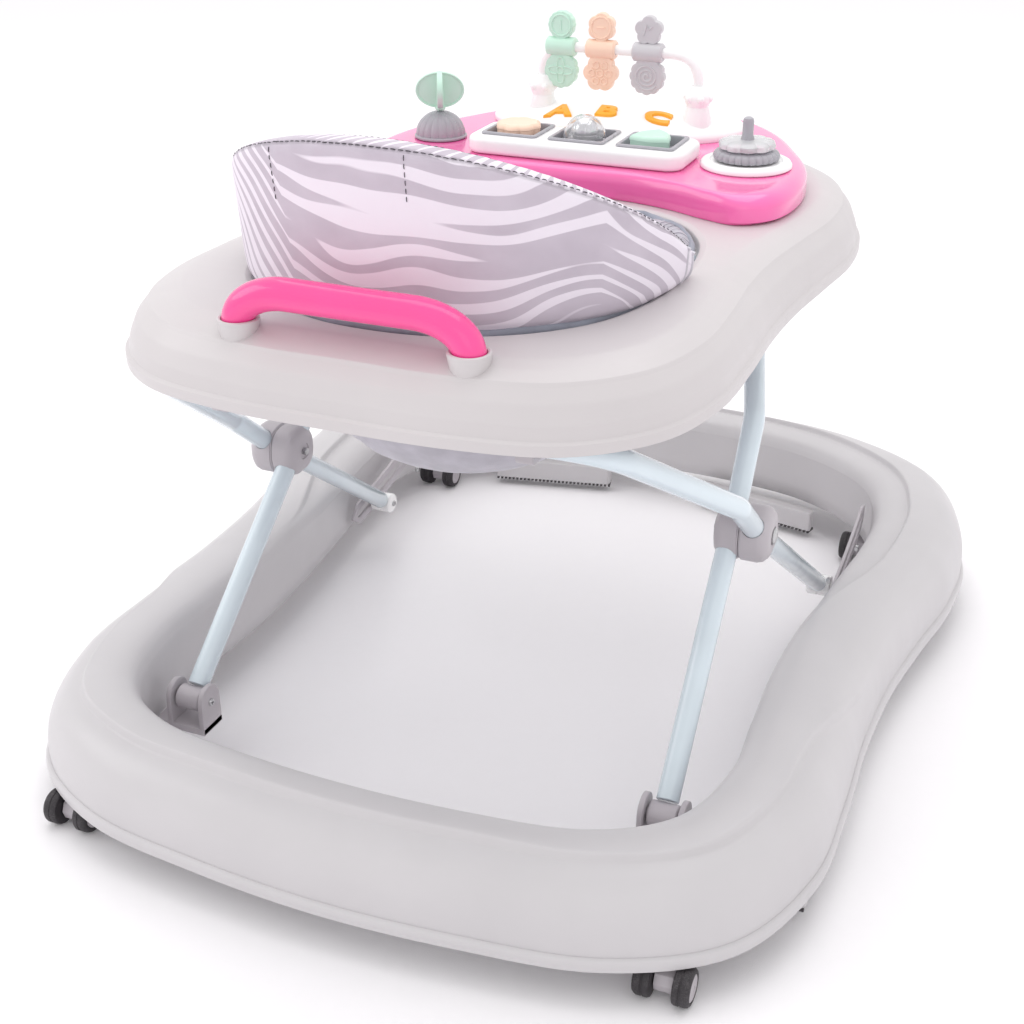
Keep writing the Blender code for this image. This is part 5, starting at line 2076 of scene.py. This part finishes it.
    def build_panel(self) -> Piece:
        """The white domed panel with the bar's two sockets."""
        oval = [(self.dome_rx * math.cos(a), self.dome_ry * math.sin(a)) for a in turns(120)]
        levels = [(0.995, self.top_z + 0.0003), (1.0, self.top_z + 0.0012)]
        for k in range(15):
            share = math.cos(math.pi / 2 * k / 15) ** 0.8
            levels.append((share, self.dome_height(share)))
        levels.append((0, self.dome_z))
        parts = [domed("panel", oval, (self.dome_x, self.dome_y), levels)]
        for sign in (1, -1):
            knob = mm((0, 428), (12.5, 428), (12, 440), (10, 448), (9, 451), (10.6, 454.5),
                (11.2, 458.5), (10, 462), (7.6, 464), (6.6, 467), (5.6, 468), (4.4, 468),
                (4.2, 466), (0, 466))
            parts.append(turned("knob", knob, (sign * self.bar_x, self.bar_y, 0), Axis.Z, 48, 2.3))
            for turn in range(6):
                middle = (sign * self.bar_x, self.bar_y)
                spot = (*polar(0.0096, math.pi / 3 * turn, middle), 0.458)
                bead = [(0.0034 * math.sin(math.pi * k / 10),
                    -0.0034 * math.cos(math.pi * k / 10)) for k in range(11)]
                parts.append(turned("bead", bead, spot, Axis.Z, 20))
        return joined("white_panel", parts)

    def build_bar(self) -> Piece:
        """The white bar, swept through two wide bends."""
        x, y, z = self.bar_x, self.bar_y, self.bar_z
        corners = [(x, y, 0.456), (x, y, z), (-x, y, z), (-x, y, 0.456)]
        return swept("white_bar", bent_path(corners, 0.024, 14), self.bar_r, 28)

    def build_letters(self) -> Piece:
        """Raised A, B and C that follow the panel's slope."""
        made = []
        for letter, x, y in self.letters:
            words = bpy.data.curves.new("letter", "FONT")
            words.body = letter
            words.size = self.letter_size
            words.extrude = 0.0012
            words.offset = 0.0007
            words.bevel_depth = 0.0006
            words.bevel_resolution = 2
            words.resolution_u = 6
            words.align_x, words.align_y = "CENTER", "CENTER"
            source = placed("letter", words)
            graph = bpy.context.evaluated_depsgraph_get()
            mesh = bpy.data.meshes.new_from_object(source.evaluated_get(graph), depsgraph=graph)
            bpy.data.objects.remove(source)
            for vertex in mesh.vertices:
                spot_x, spot_y = x - vertex.co.x * 1.18, y - vertex.co.y * 0.84
                share = math.hypot((spot_x - self.dome_x) / self.dome_rx,
                    (spot_y - self.dome_y) / self.dome_ry)
                height = self.dome_height(min(share, 0.999)) + vertex.co.z + 0.0007
                vertex.co = (spot_x, spot_y, height)
            piece = placed("letter_mesh", mesh)
            made.append(piece)
        return joined("raised_letters", made)

    def build_spinner(self) -> tuple[Piece, Piece]:
        """The ribbed grey dome and the two crossed leaves on its post."""
        outline = petals(1.0, 18, 0.045, 216)
        base = [(0.0208, self.top_z + 0.0003), (0.0222, self.top_z + 0.001), (0.0222, 0.4262),
            (0.0213, 0.4272)]
        loops = [[Vector((*polar(r, angle, (self.lobe_x, self.lobe_y)),
            z)) for angle in turns(216)] for r, z in base]
        for k in range(13):
            angle = math.pi / 2 * k / 13
            r, z = 0.021 * math.cos(angle), 0.4272 + 0.019 * math.sin(angle)
            loops.append([Vector((self.lobe_x + a * r, self.lobe_y + b * r, z)) for a,
                b in outline])
        loops.append([Vector((self.lobe_x, self.lobe_y, 0.4464))])
        dome = loft("ribbed_dome", loops)
        parts = []
        facing = math.atan2(0.9, -0.43)
        for turn in (0.0, math.pi / 2):
            across = Vector((-math.sin(facing + turn), math.cos(facing + turn), 0))
            out = Vector((math.cos(facing + turn), math.sin(facing + turn), 0))
            centre = Vector((self.lobe_x, self.lobe_y, 0.4635))
            rings = []
            for scale, half in ((0.9, -0.0011), (0.93, -0.002), (0.985, -0.0022), (1.0, -0.0012),
                    (1.0, 0.0012), (0.985, 0.0022), (0.93, 0.002), (0.9, 0.0011)):
                rings.append([centre + across * 0.0205 * scale * math.cos(a) + Vector((0, 0,
                    0.0148 * scale * math.sin(a))) + out * half for a in turns(72)])
            parts.append(loft("leaf", rings))
        stem = [(0, 0.4472), (0.004, 0.4472), (0.0044, 0.4482), (0.0034, 0.451),
            (0.003, 0.4785 - 0.0006), (0.002, 0.4785), (0, 0.4785)]
        parts.append(turned("stem", stem, (self.lobe_x, self.lobe_y, 0), Axis.Z, 32))
        return dome, joined("crossed_leaves", parts)

    def build_dial(self) -> tuple[Piece, ...]:
        """The dial: white ring, ribbed grey ring with its post, clear disc and peach charm."""
        at = (-self.lobe_x, self.lobe_y, 0)
        ring = mm((0, 424.3), (35.2, 424.3), (36.2, 425.2), (36.2, 426.8), (34.8, 429),
            (32.2, 430.1), (29, 430.1), (27.8, 429.2), (0, 429.2))
        white = turned("dial_ring", ring, at, Axis.Z, 96)
        ribs = petals(1.0, 28, 0.05, 280)
        grey = [domed("ribbed", ribs, at[:2], mm((24, 430.4), (25.8, 431), (26.5, 433),
            (25.8, 435.2), (23.8, 437), (20.5, 437.8), (18, 437.8)))]
        post = mm((0, 444), (5.6, 444), (5, 447.6), (4.4, 449), (4.4, 459.6), (3.8, 461.8),
            (2.2, 462.9), (0, 463))
        grey.append(turned("post", post, at, Axis.Z, 36))
        grey.append(turned("hub", mm((0, 437.2), (6, 437.2), (6, 444.5), (0, 444.5)), at, Axis.Z,
            32))
        clear = domed("clear_disc", petals(1.0, 10, 0.09, 200), at[:2], mm((20, 438.6),
            (22.2, 439.4), (23, 441.2), (22.6, 443.2), (20.4, 444.8), (13, 445.6), (6.4, 445.8)))
        charm = domed("peach_flower", petals(0.0062, 6, 0.18), (at[0] - 0.0075, at[1] - 0.0235),
            [(0.9, 0.43), (1.0, 0.4306), (1.0, 0.4336), (0.88, 0.435), (0.5, 0.4356), (0, 0.4357)])
        return white, joined("dial_grip", grey), clear, charm

    def build_screws(self) -> Piece:
        """Screws that hold the deck to the tray, seen from below."""
        screws = Spread("deck_screws", screw_head(0.003))
        for x, y in mm((110, -50), (-110, -50), (105, -215), (-105, -215)):
            screws.put((x, y, 0.3988), (0, 0, -1), (1, 0.4, 0))
        return screws.bake(STEEL)

    def build_and_dress(self) -> None:
        """Make every toy and give it its finish."""
        dress(self.build_deck(), DECK_PLASTIC, self.body, "pink_gloss", ["toy_deck"])
        dress(self.build_console(), WHITE_PLASTIC, self.body, "white_plastic", ["key_console"])
        dress(self.build_bezels(), TOY_GREY_PLASTIC, self.body, "toy_grey")
        peach, mint = self.build_keys()
        dress(peach, PEACH_PLASTIC, "peach_key", "peach", ["peach_key"])
        dress(mint, MINT_PLASTIC, "mint_key", "mint", ["mint_key"])
        ball, cover = self.build_ball()
        dress(ball, CHROME, "roller_ball", "steel", ["roller_ball"])
        dress(cover, CLEAR, self.body, "clear_lens", ["ball_cover"])
        dress(self.build_panel(), WHITE_PLASTIC, self.body, "white_plastic", ["dome_panel"])
        dress(self.build_bar(), WHITE_PLASTIC, self.body, "white_plastic", ["toy_bar"])
        dress(self.build_letters(), LETTER_PLASTIC, self.body, "peach")
        for name, x, finish in (("mint", 0.0525, MINT_PLASTIC), ("peach", 0.0165, PEACH_PLASTIC),
                ("grey", -0.025, PALE_GREY_PLASTIC)):
            slot = "toy_grey" if name == "grey" else name
            dress(Paddle(name, x, finish).build(), finish, f"{name}_paddle", slot,
                [f"{name}_paddle"])
        dome, leaves = self.build_spinner()
        dress(dome, TOY_GREY_PLASTIC, self.body, "toy_grey", ["spinner_dome"])
        dress(leaves, MINT_PLASTIC, "leaf_spinner", "mint", ["leaf_spinner"])
        white, grip, clear, charm = self.build_dial()
        dress(white, WHITE_PLASTIC, self.body, "white_plastic", ["dial_base"])
        dress(grip, TOY_GREY_PLASTIC, "dial_knob", "toy_grey", ["dial_knob"])
        dress(clear, FROSTED, "dial_knob", "clear_lens")
        dress(charm, PEACH_PLASTIC, self.body, "peach")
        dress(self.build_screws(), STEEL, self.body, "steel")


# ---------------------------------------------------------------- studio


@dataclass
class Studio:
    """A pale floor, a soft surround, the lights and the camera."""

    floor_size: float = 30.0
    camera_place: tuple[float, float, float] = (-0.4339, 1.0918, 0.7334)
    camera_aim: tuple[float, float, float] = (0.34675, -0.8221, -0.45157)
    roll: float = math.radians(-0.22)
    lens: float = 54.4

    def build_floor(self) -> None:
        """A wide floor that meets the surround."""
        bpy.ops.mesh.primitive_plane_add(size=self.floor_size)
        floor = bpy.context.object
        floor.name = "studio_floor"
        floor.data.materials.append(FLOOR_PAPER.material())

    def build_surround(self) -> None:
        """An even, nearly white world."""
        world = bpy.data.worlds.new("studio_world")
        bpy.context.scene.world = world
        world.use_nodes = True
        shade = world.node_tree.nodes["Background"]
        shade.inputs["Color"].default_value = (1.0, 0.995, 1.0, 1.0)
        shade.inputs["Strength"].default_value = 1.0

    def _panel(self, name: str, place: Sequence[float], size: float, power: float) -> None:
        """A square soft light aimed at the walker."""
        light = bpy.data.lights.new(name, "AREA")
        light.shape = "SQUARE"
        light.size = size
        light.energy = power
        lamp = placed(name, light)
        lamp.location = place
        aim = Vector((0.0, 0.0, 0.25)) - Vector(place)
        lamp.rotation_euler = aim.to_track_quat("-Z", "Y").to_euler()

    def build_lights(self) -> None:
        """A broad light overhead, one to the left and a weaker one behind the camera."""
        self._panel("light_top", (0.2, -0.6, 2.6), 2.4, 22.0)
        self._panel("light_left", (2.1, 1.0, 1.5), 1.4, 9.0)
        self._panel("light_camera", (-1.5, 2.4, 1.4), 1.6, 2.5)

    def build_camera(self) -> None:
        """The camera, from behind and above on the baby's right."""
        data = bpy.data.cameras.new("studio_camera")
        data.lens = self.lens
        data.sensor_width = 36.0
        camera = placed("studio_camera", data)
        camera.location = self.camera_place
        aim = Vector(self.camera_aim)
        turn = aim.to_track_quat("-Z", "Y").to_matrix() @ Matrix.Rotation(self.roll, 3, "Z")
        camera.rotation_euler = turn.to_euler()
        bpy.context.scene.camera = camera

    def build(self) -> None:
        """Set the whole studio up."""
        self.build_floor()
        self.build_surround()
        self.build_lights()
        self.build_camera()
        view = bpy.context.scene.view_settings
        view.view_transform = "Standard"
        view.look = "None"


def main() -> None:
    """Build the walker's looks, piece by piece, and the studio round it."""
    logging.basicConfig(level=logging.INFO, format="%(message)s")
    BaseRing().build_and_dress()
    for corner in CORNERS:
        Caster(corner).build_and_dress()
    rear = LegPair("rear", "rear_legs", 0.1935, (0.2505, 0.0555), 0.187, (0.085, 0.201),
        (0.033, 0.27), (-0.121, 0.344), 0.14, 0.112, (0.1765, 0.1966))
    front = LegPair("front", "front_legs", 0.218, (-0.127, 0.049), 0.2065, (0.085, 0.201),
        (0.143, 0.248), (0.291, 0.344), 0.16, 0.132, (0.1971, 0.219))
    for pair in (rear, front):
        pair.build_and_dress()
    LegFittings().build_and_dress()
    TrayRing().build_and_dress()
    SeatBack().build_and_dress()
    SeatBucket().build_and_dress()
    ToyDeck().build_and_dress()
    Studio().build()


if __name__ == "__main__":
    main()
